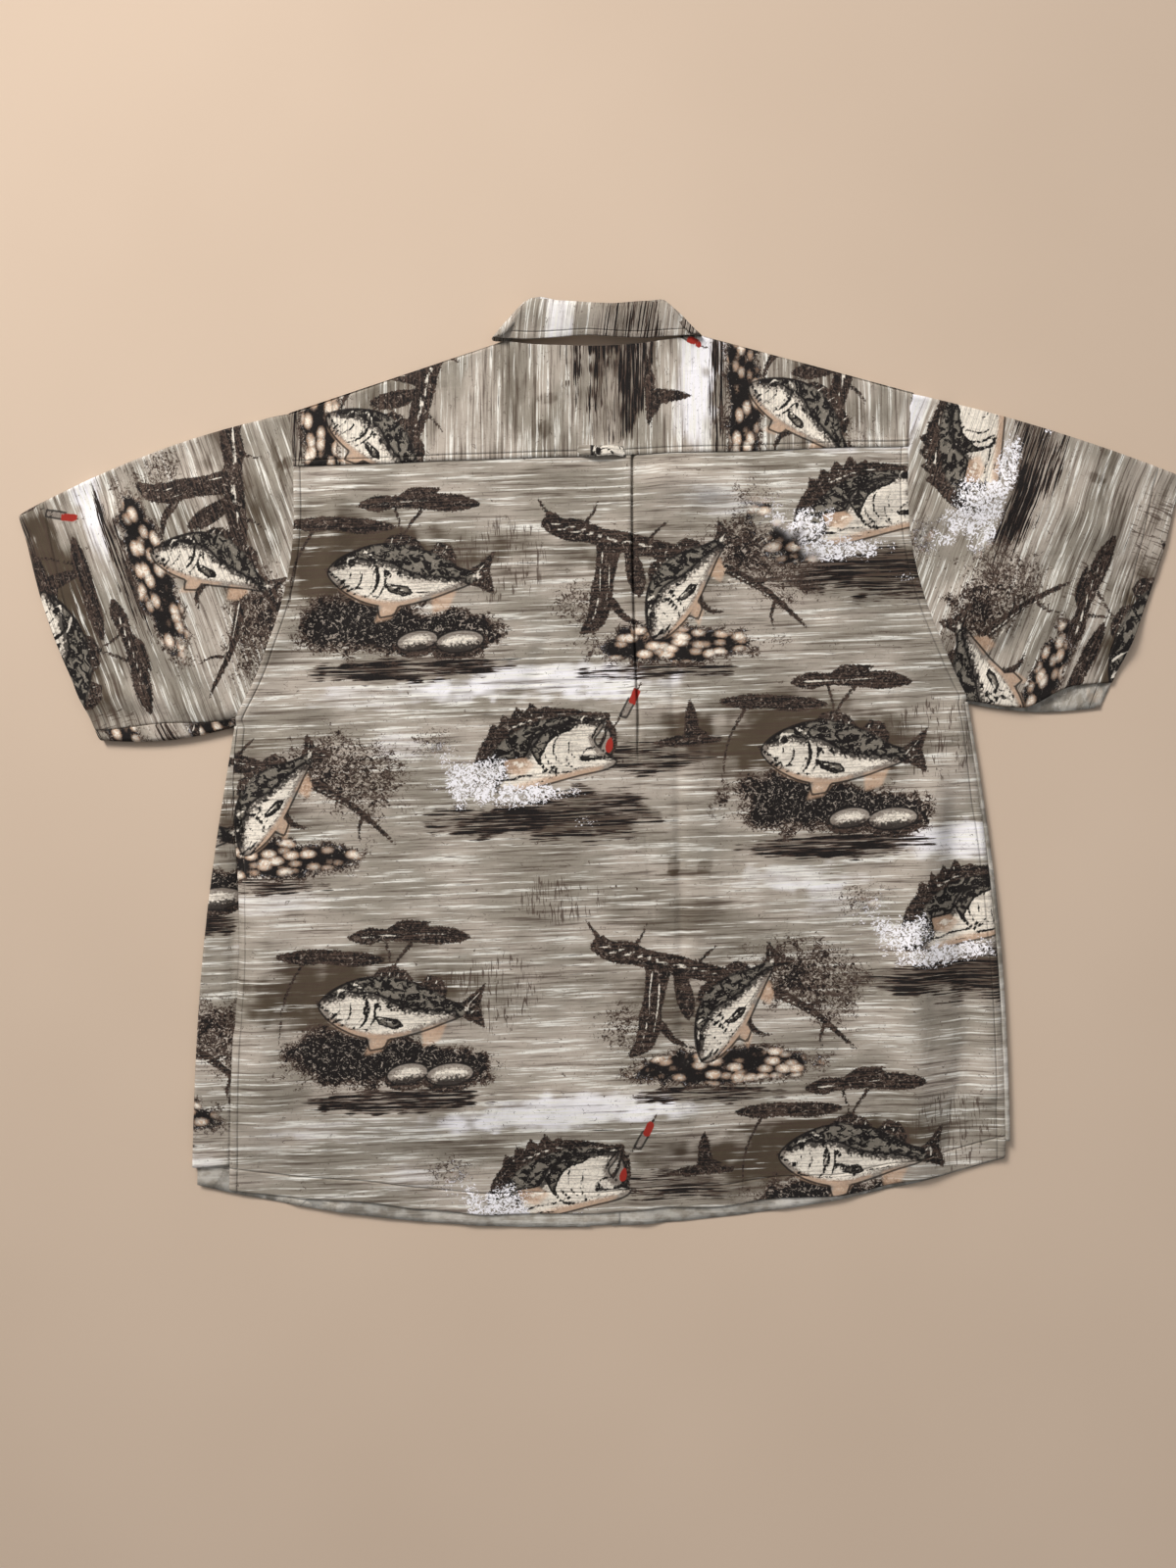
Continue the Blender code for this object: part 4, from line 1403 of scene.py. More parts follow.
        crumple = r.grain(cloth, (46.0, 30.0, 1.0), 4.0, 0.6, 0.6)
        pucker = r.times(plate[Plate.SEAM], r.fit(specks, 0.8, 0.6))
        height = r.fit(thread, 0.10, r.fit(pucker, -0.5, crumple))
        r.bump(height, 0.7, 0.0024)
        return r.material


@dataclass(frozen=True)
class PlainCloth:
    """Plain woven cloth, tape or thread of one dye, with slubs and its weave in relief."""

    name: str
    colour: tuple[int, int, int]
    pale: tuple[int, int, int]
    pitch: float = 0.0007
    roughness: float = 0.8

    def make(self) -> bpy.types.Material:
        """The finished material.

        Returns:
            The material.
        """
        r = Recipe(self.name)
        place = r.place()
        thread = r.weave(place, self.pitch)
        slub = r.grain(place, (260.0, 120.0, 260.0), 3.0)
        share = r.fit(thread, 0.35, r.step(slub, 0.35, 0.75), clamp=True)
        r.put(r.shader.inputs["Base Color"], r.blend(share, dye(*self.colour), dye(*self.pale)))
        r.put(r.shader.inputs["Roughness"], r.fit(slub, 0.15, self.roughness - 0.05))
        r.sheen(0.15)
        r.bump(r.fit(slub, 0.4, thread), 0.5, 0.0003)
        return r.material


@dataclass(frozen=True)
class HornButton:
    """Mottled dark resin that imitates horn."""

    name: str = "horn_button"
    dark: tuple[int, int, int] = (58, 42, 30)
    pale: tuple[int, int, int] = (134, 106, 78)

    def make(self) -> bpy.types.Material:
        """The finished material.

        Returns:
            The material.
        """
        r = Recipe(self.name)
        place = r.place()
        swirl = r.grain(place, (160.0, 420.0, 200.0), 4.0, 0.6, 2.0)
        r.put(
            r.shader.inputs["Base Color"],
            r.blend(r.step(swirl, 0.42, 0.62), dye(*self.dark), dye(*self.pale)),
        )
        r.put(r.shader.inputs["Roughness"], r.fit(swirl, 0.2, 0.22))
        r.bump(swirl, 0.12, 0.0003)
        return r.material


class Finishes:
    """Every material of the shirt, made once."""

    def __init__(self) -> None:
        """Makes them."""
        self.face = PrintedCotton().make()
        self.reverse = PrintedCotton("cotton_reverse", fade=0.66).make()
        self.label = PlainCloth("label_satin", (214, 210, 200), (236, 233, 226), 0.0005, 0.55).make()
        self.thread = PlainCloth("sewing_thread", (150, 140, 122), (196, 188, 170), 0.0004, 0.7).make()
        self.button = HornButton().make()


# Meshes


def surface(points: Array) -> float:
    """The area of a grid of points.

    Args:
        points: Rows and columns of places.

    Returns:
        The area, in square metres.
    """
    a, b, c, d = points[:-1, :-1], points[:-1, 1:], points[1:, 1:], points[1:, :-1]
    halves = np.linalg.norm(np.cross(b - a, c - a), axis=-1) + np.linalg.norm(np.cross(c - a, d - a), axis=-1)
    return float(halves.sum() / 2)


def facing(points: Array) -> Array:
    """The direction that each point of a grid faces.

    Args:
        points: Rows and columns of places.

    Returns:
        A direction of length 1 at each point.
    """
    normal = np.cross(np.gradient(points, axis=1), np.gradient(points, axis=0))
    return normal / np.maximum(np.linalg.norm(normal, axis=-1, keepdims=True), 1e-12)


@dataclass(frozen=True)
class Bend:
    """Which body a piece would bend towards, and between which two places."""

    body: str
    start: tuple[float, float, float]
    end: tuple[float, float, float]


class Panel:
    """Gathers grids of cloth into one mesh, with the print's plates at its points."""

    def __init__(self, name: str, cloth: Print, materials: Sequence[bpy.types.Material]) -> None:
        """Starts an empty panel.

        Args:
            name: The piece's name.
            cloth: The print.
            materials: What the panel's faces may wear, by slot.
        """
        self.name, self.cloth, self.materials = name, cloth, materials
        self.points: list[Array] = []
        self.faces: list[Array] = []
        self.slots: list[Array] = []
        self.places: list[Array] = []
        self.plates: list[Array] = []
        self.count = 0
        self.cut_area = 0.0
        self.cut_size = (0.0, 0.0)

    def grid(
        self, points: Array, grain: Grain, seam: Array | None = None, slot: int = 0, flip: bool = False,
        drawn_at: Array | None = None,
    ) -> Array:
        """Adds one face of cloth.

        Args:
            points: Rows and columns of places.
            grain: How the cloth lies.
            seam: How near a seam or stitched line each point is, from 0 to 1.
            slot: Which material it wears.
            flip: Whether it faces down.
            drawn_at: Where the print is read, if not at the points themselves.

        Returns:
            The grid of point numbers.
        """
        rows, columns = points.shape[:2]
        index = np.arange(rows * columns).reshape(rows, columns) + self.count
        at = points if drawn_at is None else drawn_at
        x, y = at[..., 0].ravel(), at[..., 1].ravel()
        px, py = grain.cloth_places(x, y)
        plates = self.cloth.plates(grain, x, y)
        if seam is not None:
            plates[Plate.SEAM] = np.broadcast_to(seam, (rows, columns)).ravel().astype(float)
        self.points.append(points.reshape(-1, 3))
        self.places.append(np.stack([px, py, np.full(px.shape, FACE_APART * slot)], axis=-1))
        self.plates.append(np.stack([plates[p] for p in Plate], axis=-1))
        self.count += rows * columns
        self._cover(index, slot, flip)
        self.cut_area += 0.0 if flip else surface(points)
        if not any(self.cut_size):
            steps = np.linalg.norm(np.diff(points, axis=1), axis=-1).sum(axis=1).max()
            rises = np.linalg.norm(np.diff(points, axis=0), axis=-1).sum(axis=0).max()
            self.cut_size = (float(steps), float(rises))
        return index

    def _cover(self, index: Array, slot: int, flip: bool) -> None:
        """Adds the faces of a grid of point numbers.

        Args:
            index: Rows and columns of point numbers.
            slot: Which material they wear.
            flip: Whether they face down.
        """
        a, b, c, d = index[:-1, :-1], index[:-1, 1:], index[1:, 1:], index[1:, :-1]
        quads = np.stack([a, b, c, d] if not flip else [a, d, c, b], axis=-1).reshape(-1, 4)
        self.faces.append(quads)
        self.slots.append(np.full(len(quads), slot))

    def both_faces(
        self, points: Array, grain: Grain, thickness: float, seam: Array | None = None,
        slots: tuple[int, int] = (0, 1),
    ) -> None:
        """Adds cloth with two faces and its edges closed; the points are its first face.

        Args:
            points: Rows and columns of places of the first face.
            grain: How the cloth lies.
            thickness: The distance to the second face, against the way the first one faces.
            seam: How near a seam or stitched line each point is.
            slots: The materials of the first and the second face.
        """
        first = self.grid(points, grain, seam, slots[0])
        second = self.grid(
            points - facing(points) * thickness, grain, seam, slots[1], flip=True, drawn_at=points
        )
        for a, b in (
            (first[0], second[0]), (second[-1], first[-1]), (second[:, 0], first[:, 0]),
            (first[:, -1], second[:, -1]),
        ):
            self._cover(np.stack([b, a]), slots[0], False)

    def make(self) -> bpy.types.Object:
        """The finished object.

        Returns:
            The piece.
        """
        mesh = bpy.data.meshes.new(self.name)
        points, faces = np.concatenate(self.points), np.concatenate(self.faces)
        mesh.from_pydata(points.tolist(), [], faces.tolist())
        for material in self.materials:
            mesh.materials.append(material)
        mesh.polygons.foreach_set("material_index", np.concatenate(self.slots).astype(np.int32))
        mesh.polygons.foreach_set("use_smooth", np.ones(len(faces), bool))
        place = mesh.attributes.new("cloth", "FLOAT_VECTOR", "POINT")
        place.data.foreach_set("vector", np.concatenate(self.places).astype(np.float32).ravel())
        plates = np.concatenate(self.plates)
        for index, name in enumerate(("inks", "washes", "marks")):
            layer = mesh.attributes.new(name, "FLOAT_COLOR", "POINT")
            layer.data.foreach_set("color", plates[:, 4 * index : 4 * index + 4].astype(np.float32).ravel())
        mesh.update()
        piece = bpy.data.objects.new(self.name, mesh)
        bpy.context.scene.collection.objects.link(piece)
        log.info("%s: %d points, %d faces", self.name, len(points), len(faces))
        return piece

    def finish(
        self, body: str, nodes: Sequence[str], held: str, rests_on: Iterable[str] = (),
        cut_size: Point | None = None, bend: Bend | None = None, slot: str = "printed_cloth",
    ) -> bpy.types.Object:
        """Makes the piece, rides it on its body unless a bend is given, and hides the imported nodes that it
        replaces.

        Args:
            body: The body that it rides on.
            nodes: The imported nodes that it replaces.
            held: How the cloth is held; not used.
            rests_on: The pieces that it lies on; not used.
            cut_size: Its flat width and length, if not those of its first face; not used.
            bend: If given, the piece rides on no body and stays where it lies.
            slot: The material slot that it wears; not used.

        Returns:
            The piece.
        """
        piece = self.make()
        if bend is None:
            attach(piece, body)
        else:
            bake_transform(piece)
        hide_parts(*nodes)
        return piece


def steps_between(start: float, end: float, size: float) -> list[float]:
    """Even steps of about a size, from start to end, both left out.

    Args:
        start: Where the steps start.
        end: Where they end.
        size: About a step's size.

    Returns:
        The places between start and end.
    """
    count = max(2, round(abs(end - start) / size))
    return [start + (end - start) * i / count for i in range(1, count)]


@dataclass(frozen=True)
class Station:
    """One row or column of a panel: a share of the panel's length plus a distance."""

    share: float
    offset: float = 0.0
    lift: float = 0.0
    seam: float = 0.0


def stations(share: float, *rest: float | tuple[float, ...]) -> list[Station]:
    """Stations at one share, each from its offset or from its offset, lift and seam.

    Args:
        share: Their share.
        rest: What each adds.

    Returns:
        The stations.
    """
    return [Station(share, *(one if isinstance(one, tuple) else (one,))) for one in rest]


def shares(*places: float) -> list[Station]:
    """Stations that are a share of the panel's length, and nothing more."""
    return [Station(place) for place in places]


def measured(rows: Sequence[Station]) -> tuple[Array, ...]:
    """The share, offset, lift and seam of every station, as four arrays."""
    return tuple(np.array([(r.share, r.offset, r.lift, r.seam) for r in rows], float).T)


@dataclass
class Workroom:
    """What every sub-assembly is made with."""

    lines: ShirtLines
    drape: Drape
    cloth: Print
    finishes: Finishes

    def panel(self, name: str) -> Panel:
        """An empty panel that may wear the print's face and reverse."""
        return Panel(name, self.cloth, (self.finishes.face, self.finishes.reverse))

    def laid(self, x: Array, y: Array, z: Array) -> Array:
        """Points of the cut at some heights, in the frame."""
        fx, fy = self.lines.lay(x, y)
        return joined(fx, fy, z)


# The back of the body


BACK_GRAIN = Grain.laid(
    2.0,
    Spot(Scene.STONES, -0.174, 0.162), Spot(Scene.STONES, 0.222, 0.000), Spot(Scene.STONES, -0.183, -0.234),
    Spot(Scene.STONES, 0.240, -0.369, 4),
    Spot(Scene.DRIFTWOOD, 0.069, 0.162), Spot(Scene.DRIFTWOOD, -0.309, -0.036),
    Spot(Scene.DRIFTWOOD, 0.114, -0.225),
    Spot(Scene.LEAPING, -0.052, 0.018), Spot(Scene.LEAPING, -0.039, -0.378),
    Spot(Scene.LEAPING, 0.339, -0.126), Spot(Scene.LEAPING, 0.240, 0.243),
    Spot(Scene.SHORE, 0.069, -0.108), Spot(Scene.SHORE, -0.330, 0.120),
)


@dataclass
class Back:
    """The back panel with its open pleat and turned hem, and the yoke above it."""

    room: Workroom
    step: float = 0.0025
    pleat_share: float = 0.5481
    pleat_end: float = -0.392
    lap: float = 0.004
    hem_depth: float = 0.020
    wrap: tuple[float, float] = (0.034, 0.004)

    def inset(self, side: Side, y: Array) -> Array:
        """How far in from the edge the side seam lies, where the front wraps round.

        Args:
            side: Which side.
            y: Heights on the cut.

        Returns:
            The distance at each height.
        """
        most, underarm = self.wrap[0 if side is Side.LEFT else 1], self.room.lines.underarm_y
        below = 0.003 + (most - 0.003) * ease((underarm + 0.01 - y) / 0.24)
        return between(below, -0.0028, ease((y - underarm + 0.001) / 0.010))

    def hem_reach(self, x: Array) -> Array:
        """How far the back's hem hangs past its line, which leaves a thin strip of the fronts below."""
        return 0.0040 + 0.0105 * ease((np.abs(x + 0.03) - 0.16) / 0.16) + 0.0022 * ripple(x / 0.055, x * 0, 8)

    def pleat(self) -> list[tuple[float, float, float]]:
        """The columns of the open pleat: where each lies flat, where folded, and its lift.

        Returns:
            A row for each column of points.
        """
        flat = (-4.5, -3.4, -2.3, -1.2, -0.3, 0.6, 1.6, 2.5, 3.4, 4.6)
        folded = (-4.5, -1.5, -0.3, 0.3, -1.0, 0.2, 1.5, 2.3, 2.9, 4.6)
        lift = (0.3, 0.5, 0.3, -0.7, -2.0, -3.4, -3.6, -2.6, -1.0, -0.1)
        return [(a / 1000, b / 1000, c / 1000) for a, b, c in zip(flat, folded, lift)]

    def make_panel(self) -> bpy.types.Object:
        """The back panel.

        Returns:
            The piece.
        """
        cut, drape = self.room.lines, self.room.drape
        top, low = -cut.yoke_depth + self.lap, cut.corner_y
        d = self.hem_depth
        turned = ((d, -0.0017), (d / 2, -0.0017), (0.0014, -0.0016), (0.0, -0.0009), (0.0006, -0.0002), 0.002)
        stitched = ((d - 0.0022, 0.0002), (d - 0.0012, 0.0001), (d, -0.0005, 1.0), d + 0.0012, d + 0.0022)
        rows = stations(0, *turned, *steps_between(0.002, d - 0.0022, self.step), *stitched)
        share = (d + 0.0035) / (top - low)
        rows += shares(*steps_between(share, 1.0, self.step / (top - low)), 1.0)
        edge = [
            (0.0, -0.0008, 0.35), (0.001, 0.0, 0.1), (0.0025, 0.0006, 0), (0.0052, 0.0007, 0),
            (0.0066, 0.0003, 0), (0.0076, -0.0001, 1.0), (0.0088, 0.0002, 0),
        ]
        columns = stations(0, *edge)
        gap = 0.0105
        for a, b in ((0.0195, self.pleat_share - gap), (self.pleat_share + gap, 0.9805)):
            columns += shares(a, *steps_between(a, b, self.step / 0.70), b)
            if a < 0.1:
                pleat_from = len(columns)
                columns += [Station(self.pleat_share)] * len(self.pleat())
        columns += [Station(1, -o, z, s) for o, z, s in edge[::-1]]

        share, row_offset, row_lift, row_seam = (part[:, None] for part in measured(rows))
        across, column_offset, column_lift, column_seam = (part[None, :] for part in measured(columns))
        y_row = low + share * (top - low) + row_offset
        half = cut.half_width(y_row)
        left, right = -half + self.inset(Side.LEFT, y_row), half - self.inset(Side.RIGHT, y_row)
        offset = np.broadcast_to(column_offset, (len(rows), len(columns))).copy()
        open_share = ease((y_row[:, 0] - self.pleat_end) / 0.05)
        lift = np.zeros_like(offset)
        for k, (flat, folded, rise) in enumerate(self.pleat()):
            offset[:, pleat_from + k] = between(flat, folded, open_share)
            lift[:, pleat_from + k] = rise * (open_share + 0.08)
        x = left + across * (right - left) + offset
        y = y_row + (
            cut.hem_drop(x * cut.hem_half / np.maximum(half, 1e-6)) - self.hem_reach(x)
        ) * (1.0 - share) ** 2
        fx, fy = cut.lay(x, y)
        z = drape.top(fx, fy) + row_lift + lift + column_lift - 0.0007 * ease((y - top + 0.02) / 0.02)
        seam = np.maximum(row_seam, column_seam)
        panel = self.room.panel("back_panel_cloth")
        panel.grid(joined(fx, fy, z), BACK_GRAIN, seam)
        return panel.finish(
            "torso", ("back_panel", "hem_back",), "laid", ["left_front_cloth", "right_front_cloth"]
        )

    def make_yoke(self) -> bpy.types.Object:
        """The yoke, which laps the back panel's top and turns over the shoulders.

        Returns:
            The piece.
        """
        cut, drape = self.room.lines, self.room.drape
        r = drape.fold_round
        low = -cut.yoke_depth
        share_of = (-cut.shoulder_drop - low) / cut.armhole_depth
        low_half = float(cut.armhole(Side.RIGHT, np.array([share_of]))[0, 0])
        lap = (
            (0.004, -0.0007), (0.0008, -0.0006), 0.0, (0.0007, 0.0006, 0.3), (0.0022, 0.0009),
            (0.0038, 0.0008),
        )
        rows = stations(0, *lap, (0.005, 0.0004, 1.0), (0.0062, 0.0008), (0.008, 0.0008))
        rows += shares(*steps_between(0.12, 0.93, 0.0022 / 0.08))
        rows += stations(1, -0.0050, -0.0040, -0.0032, -0.0025, -0.0018, -0.0012, -0.0007, -0.0003, 0.0)
        xs = np.concatenate(
            [np.linspace(-1, -0.985, 7), np.linspace(-0.978, 0.978, 236), np.linspace(0.985, 1, 7)]
        )
        edge = np.clip((1.0 - np.abs(xs)) * cut.shoulder_half, 0, 0.02)
        ridge = np.interp(
            edge, [0, 0.0012, 0.003, 0.0066, 0.0076, 0.009],
            [-0.0012, -0.0002, 0.0004, 0.0002, -0.0002, 0.0001],
        )
        stitched = np.interp(edge, [0, 0.0012, 0.0068, 0.0076, 0.0086], [0.6, 0.0, 0.0, 1.0, 0.0])
        f = xs[None, :]
        top_y = np.where(
            np.abs(f) * cut.shoulder_half < cut.neck_half, cut.neck(f * cut.shoulder_half),
            cut.shoulder_y(f * cut.shoulder_half),
        )
        share, offset, lift, lined = (part[:, None] for part in measured(rows))
        y = low + share * (top_y - low) + offset
        x = f * (
            0.0026 + between(low_half, cut.shoulder_half, np.clip((y - low) / (top_y - low + 1e-9), 0, 1))
        )
        fx, fy = cut.lay(x, y)
        z = drape.top(fx, fy) + lift + ridge[None, :]
        seam = np.maximum(lined, stitched[None, :])
        at_neck = 1.0 - ease((np.abs(f) * cut.shoulder_half - cut.neck_half + 0.002) / 0.012)
        collar = 0.0010 * at_neck
        z = z + collar * ease((y - top_y + 0.03) / 0.03)
        under = []
        for depth, drop in (
            (0.0004, 0.9), (0.0012, 0.6), (0.0024, 0.25), (0.0045, 0.05), (0.010, 0.0), (0.022, 0.0)
        ):
            uy = top_y - depth
            ux, vy = cut.lay(f * cut.shoulder_half * np.ones_like(uy), uy)
            uz = drape.rest + r * drop * (1 - at_neck) + at_neck * (z[-1] - drape.rest - 0.004 * (1 - drop))
            under.append(joined(ux, vy, uz)[0])
        points = np.concatenate([joined(fx, fy, z), np.stack(under)])
        seam = np.concatenate([np.broadcast_to(seam, fx.shape), np.zeros((len(under), f.shape[1]))])
        grain = Grain.laid(
            -90.0,
            Spot(Scene.DRIFTWOOD, -0.205, 0.298), Spot(Scene.DRIFTWOOD, 0.183, 0.326),
            Spot(Scene.LEAPING, 0.045, 0.472),
            Spot(Scene.LEAPING, -0.345, 0.472), Spot(Scene.WATER, 0.012, 0.345),
            Spot(Scene.SHORE, -0.066, 0.333),
        )
        panel = self.room.panel("yoke_cloth")
        panel.grid(points, grain, seam)
        return panel.finish(
            "torso", ("yoke_outer", "yoke_lining", "shoulder_seam_left", "shoulder_seam_right",), "laid",
            ["back_panel_cloth"],
        )

    def make_side(self, side: Side) -> bpy.types.Object:
        """The strip of front that wraps round the body's edge to the side seam.

        Args:
            side: Which side.

        Returns:
            The piece.
        """
        cut, drape = self.room.lines, self.room.drape
        r, rest = drape.fold_round, drape.rest
        y = np.linspace(cut.underarm_y + 0.001, cut.corner_y, 170)[:, None]
        half = cut.half_width(y)
        inset = self.inset(side, y)
        out = [1.06, 1.0, 0.97, 0.9, 0.8, 0.7, 0.6, 0.5, 0.4, 0.3]
        spots, lifts = [], []
        for k in out:
            spots.append(r + (inset - r) * k if k <= 1 else inset + 0.003)
            lifts.append({1.06: -0.0016, 1.0: -0.0010, 0.97: -0.0002}.get(k, 0.0))
        for depth in (r, r * 0.75, r * 0.5, r * 0.3, r * 0.15, r * 0.04, 0.0):
            spots.append(np.minimum(inset, depth) * np.ones_like(inset))
            lifts.append(0.0)
        depth = np.concatenate([np.broadcast_to(s, inset.shape) for s in spots], axis=1)
        x = side.value * (half - depth)
        fx, fy = cut.lay(x, y)
        z = drape.top(fx, fy) + np.array(lifts)[None, :]
        low_points = []
        for d in (0.04, 0.15, 0.3, 0.5, 0.75, 1.0, 2.0, 5.0):
            ux, uy = cut.lay(side.value * (half - r * d), y)
            k = min(1.0, d)
            uz = rest + r - math.sqrt(max(0.0, r * r - (r - r * k) ** 2))
            low_points.append(joined(ux, uy, uz))
        points = np.concatenate([joined(fx, fy, z), *low_points], axis=1)
        seam = np.zeros(points.shape[:2])
        seam[:, 1] = 0.5
        panel = self.room.panel(f"side_wrap_{side.label}")
        if side is Side.LEFT:
            points, seam = points[:, ::-1], seam[:, ::-1]
        points, seam = points[::-1, ::-1] if side is Side.RIGHT else points[::-1], seam[::-1]
        spots = (
            Spot(Scene.STONES, -0.40, -0.06), Spot(Scene.DRIFTWOOD, -0.44, -0.26),
            Spot(Scene.LEAPING, 0.50, -0.30), Spot(Scene.STONES, 0.42, -0.12),
        )
        panel.both_faces(points, Grain(2.0, (0.0, 0.0), spots), CLOTH, seam)
        return panel.finish("torso", (f"side_seam_{side.label}",), "folded", ["back_panel_cloth"])

    def build(self) -> list[bpy.types.Object]:
        """Every piece of the back."""
        return [self.make_panel(), self.make_yoke(), *(self.make_side(side) for side in Side)]


# Sleeves


@dataclass
class Sleeve:
    """A short sleeve: its back and front halves, the fold between them and the turned cuff."""

    room: Workroom
    side: Side
    step: float = 0.0026
    cuff_depth: float = 0.021
    under_wrap: float = 0.017
    turn: Point = (-0.014, 0.022)
    cut_size: Point = (0.56, 0.30)

    def across_back(self) -> list[Station]:
        """The stations across the back half, from the seam to the folded upper edge.

        Returns:
            The stations.
        """
        first = stations(0, (0.0, -0.0011, 0.6), (0.001, -0.0002), (0.003, 0.0002))
        middle = shares(0.026, *steps_between(0.026, 0.95, self.step / 0.26))
        return first + middle + stations(
            1, -0.0070, -0.0050, -0.0036, -0.0026, -0.0018, -0.0010, -0.0005, -0.0001
        )

    def along_rows(self) -> list[Station]:
        """The stations from the armhole to the cuff's edge.

        Returns:
            The stations.
        """
        d = self.cuff_depth
        tucked = stations(0, (-0.007, -0.0026), (-0.0036, -0.0022), (-0.0016, -0.0012), (0.0, -0.0004), 0.002)
        middle = shares(0.02, *steps_between(0.02, 0.89, self.step / 0.23))
        stitched = (
            -d - 0.0024, -d - 0.0012, (-d, -0.0005, 1.0), (-d + 0.0012, 0.0001), (-d + 0.0024, 0.0002)
        )
        hem = (-o for o in steps_between(d - 0.0024, 0.002, self.step))
        edge = ((-0.002, 0.0001), (-0.0007, -0.0001), (0.0, -0.0006), (-0.0006, -0.0013))
        return tucked + middle + stations(1, *stitched, *hem, *edge, (-0.008, -0.0015), (-0.018, -0.0015))

    def raised(self, along: Array) -> Array:
        """How far above the lower edge the back half's own lower edge lies.

        Args:
            along: Shares from the armhole, 0, to the cuff, 1.

        Returns:
            The distance at each share.
        """
        if self.side is Side.LEFT:
            return self.under_wrap * (0.55 + 0.45 * ease(1 - np.abs(along - 0.55) / 0.5))
        return 0.003 + 0.021 * ease((along - 0.38) / 0.42)

    def make(self) -> bpy.types.Object:
        """The sleeve, with its front half folded under its back half.

        Returns:
            The piece.
        """
        cut, drape, side = self.room.lines, self.room.drape, self.side
        shape = SleeveShape(cut, side)
        r, rest = drape.fold_round, drape.rest
        rows = self.along_rows()
        length = cut.sleeve_reach * 0.93
        row_share, row_offset, lift, lined = (part[:, None] for part in measured(rows))
        along = row_share + row_offset / length
        columns = self.across_back()
        clipped = np.clip(along, 0.0, 1.0)
        width = np.linalg.norm(shape.top_edge(clipped) - shape.under_edge(clipped), axis=-1)
        start = self.raised(clipped) / width
        share, offset, rise, seam = (part[None, :] for part in measured(columns))
        across = start + share * (1 - start) + offset / width
        plan = shape.place(np.broadcast_to(clipped, across.shape), across)
        plan = plan + np.minimum(along, 0.0)[..., None] * length * np.asarray(cut.outward(side))
        fx, fy = cut.lay(plan[..., 0], plan[..., 1])
        z = drape.top(fx, fy) + lift + rise
        seam = np.maximum(lined, seam)
        under = []
        for depth in (0.04, 0.2, 0.45, 0.75, 1.0, 2.2, 4.5):
            k = min(depth, 1.0)
            p = shape.place(clipped[:, 0], 1.0 - r * depth / width[:, 0])
            ux, uy = cut.lay(p[:, 0], p[:, 1])
            uz = rest + r - math.sqrt(max(0.0, r * r - (r - r * k) ** 2))
            under.append(joined(ux, uy, uz))
        points = np.concatenate([joined(fx, fy, z), np.stack(under, axis=1)], axis=1)
        seam = np.concatenate([seam, np.broadcast_to(lined, (len(rows), len(under)))], axis=1)
        if side is Side.LEFT:
            grain = Grain.laid(
                -70.0, Spot(Scene.DRIFTWOOD, -0.360, 0.188), Spot(Scene.LEAPING, -0.557, 0.292),
                Spot(Scene.STONES, -0.506, 0.083), Spot(Scene.SHORE, -0.30, 0.27),
            )
        else:
            grain = Grain.laid(
                70.0, Spot(Scene.LEAPING, 0.333, 0.299), Spot(Scene.STONES, 0.518, 0.123),
                Spot(Scene.DRIFTWOOD, 0.352, 0.070), Spot(Scene.SHORE, 0.47, 0.26),
            )
        panel = self.room.panel(f"sleeve_{side.label}_cloth")
        flip = side is Side.LEFT
        points, seam = points.transpose(1, 0, 2), seam.T
        if flip:
            points, seam = points[:, ::-1], seam[:, ::-1]
        panel.both_faces(points, grain, CLOTH, seam)
        self._front_half(panel, shape, flip)
        name = side.label
        mid = cut.lay(*(between(cut.tip(side), cut.underarm(side), 0.5)))
        away = cut.outward(side)
        away = np.array([away[0], away[1] + cut.askew * away[0]])
        away /= np.hypot(*away)
        height = float(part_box(f"armhole_seam_{name}_back")[1][2])
        start, end = ((mid[0] + away[0] * k, mid[1] + away[1] * k, height) for k in self.turn)
        seams = (
            f"sleeve_hem_{name}", f"sleeve_seam_{name}", f"armhole_seam_{name}_back",
            f"armhole_seam_{name}_front",
        )
        bend = Bend(f"{name}_sleeve", start, end)
        return panel.finish("torso", (f"sleeve_{name}", *seams), "laid", (), self.cut_size, bend)

    def _front_half(self, panel: Panel, shape: SleeveShape, flip: bool) -> None:
        """Adds the front half: below, with its reverse up, and wrapped over at its lower edge.

        Args:
            panel: The panel that it goes into.
            shape: Where the sleeve's points lie.
            flip: Whether the rows run the other way.
        """
        cut, drape = self.room.lines, self.room.drape
        r, rest = drape.fold_round, drape.rest
        a = np.concatenate([np.linspace(0, 0.9, 44), [0.912, 0.918, 0.924, 0.95, 0.98, 1.0]])[:, None]
        lined = np.where(np.abs(a - 0.918) < 0.001, 1.0, 0.0)
        width = np.linalg.norm(shape.top_edge(a) - shape.under_edge(a), axis=-1)
        parts, seams = [], []

        def add(across: Array, z: Array | float, seam: float = 0.0) -> None:
            """Adds one line of the front half, at a share across and a height.

            Args:
                across: The share across, at each row.
                z: The height.
                seam: How near a stitched line it is.
            """
            p = shape.place(a[:, 0], across)
            x, y = cut.lay(p[:, 0], p[:, 1])
            parts.append(np.stack([x, y, np.broadcast_to(z, x.shape)], axis=-1))
            seams.append(np.maximum(lined[:, 0], seam))

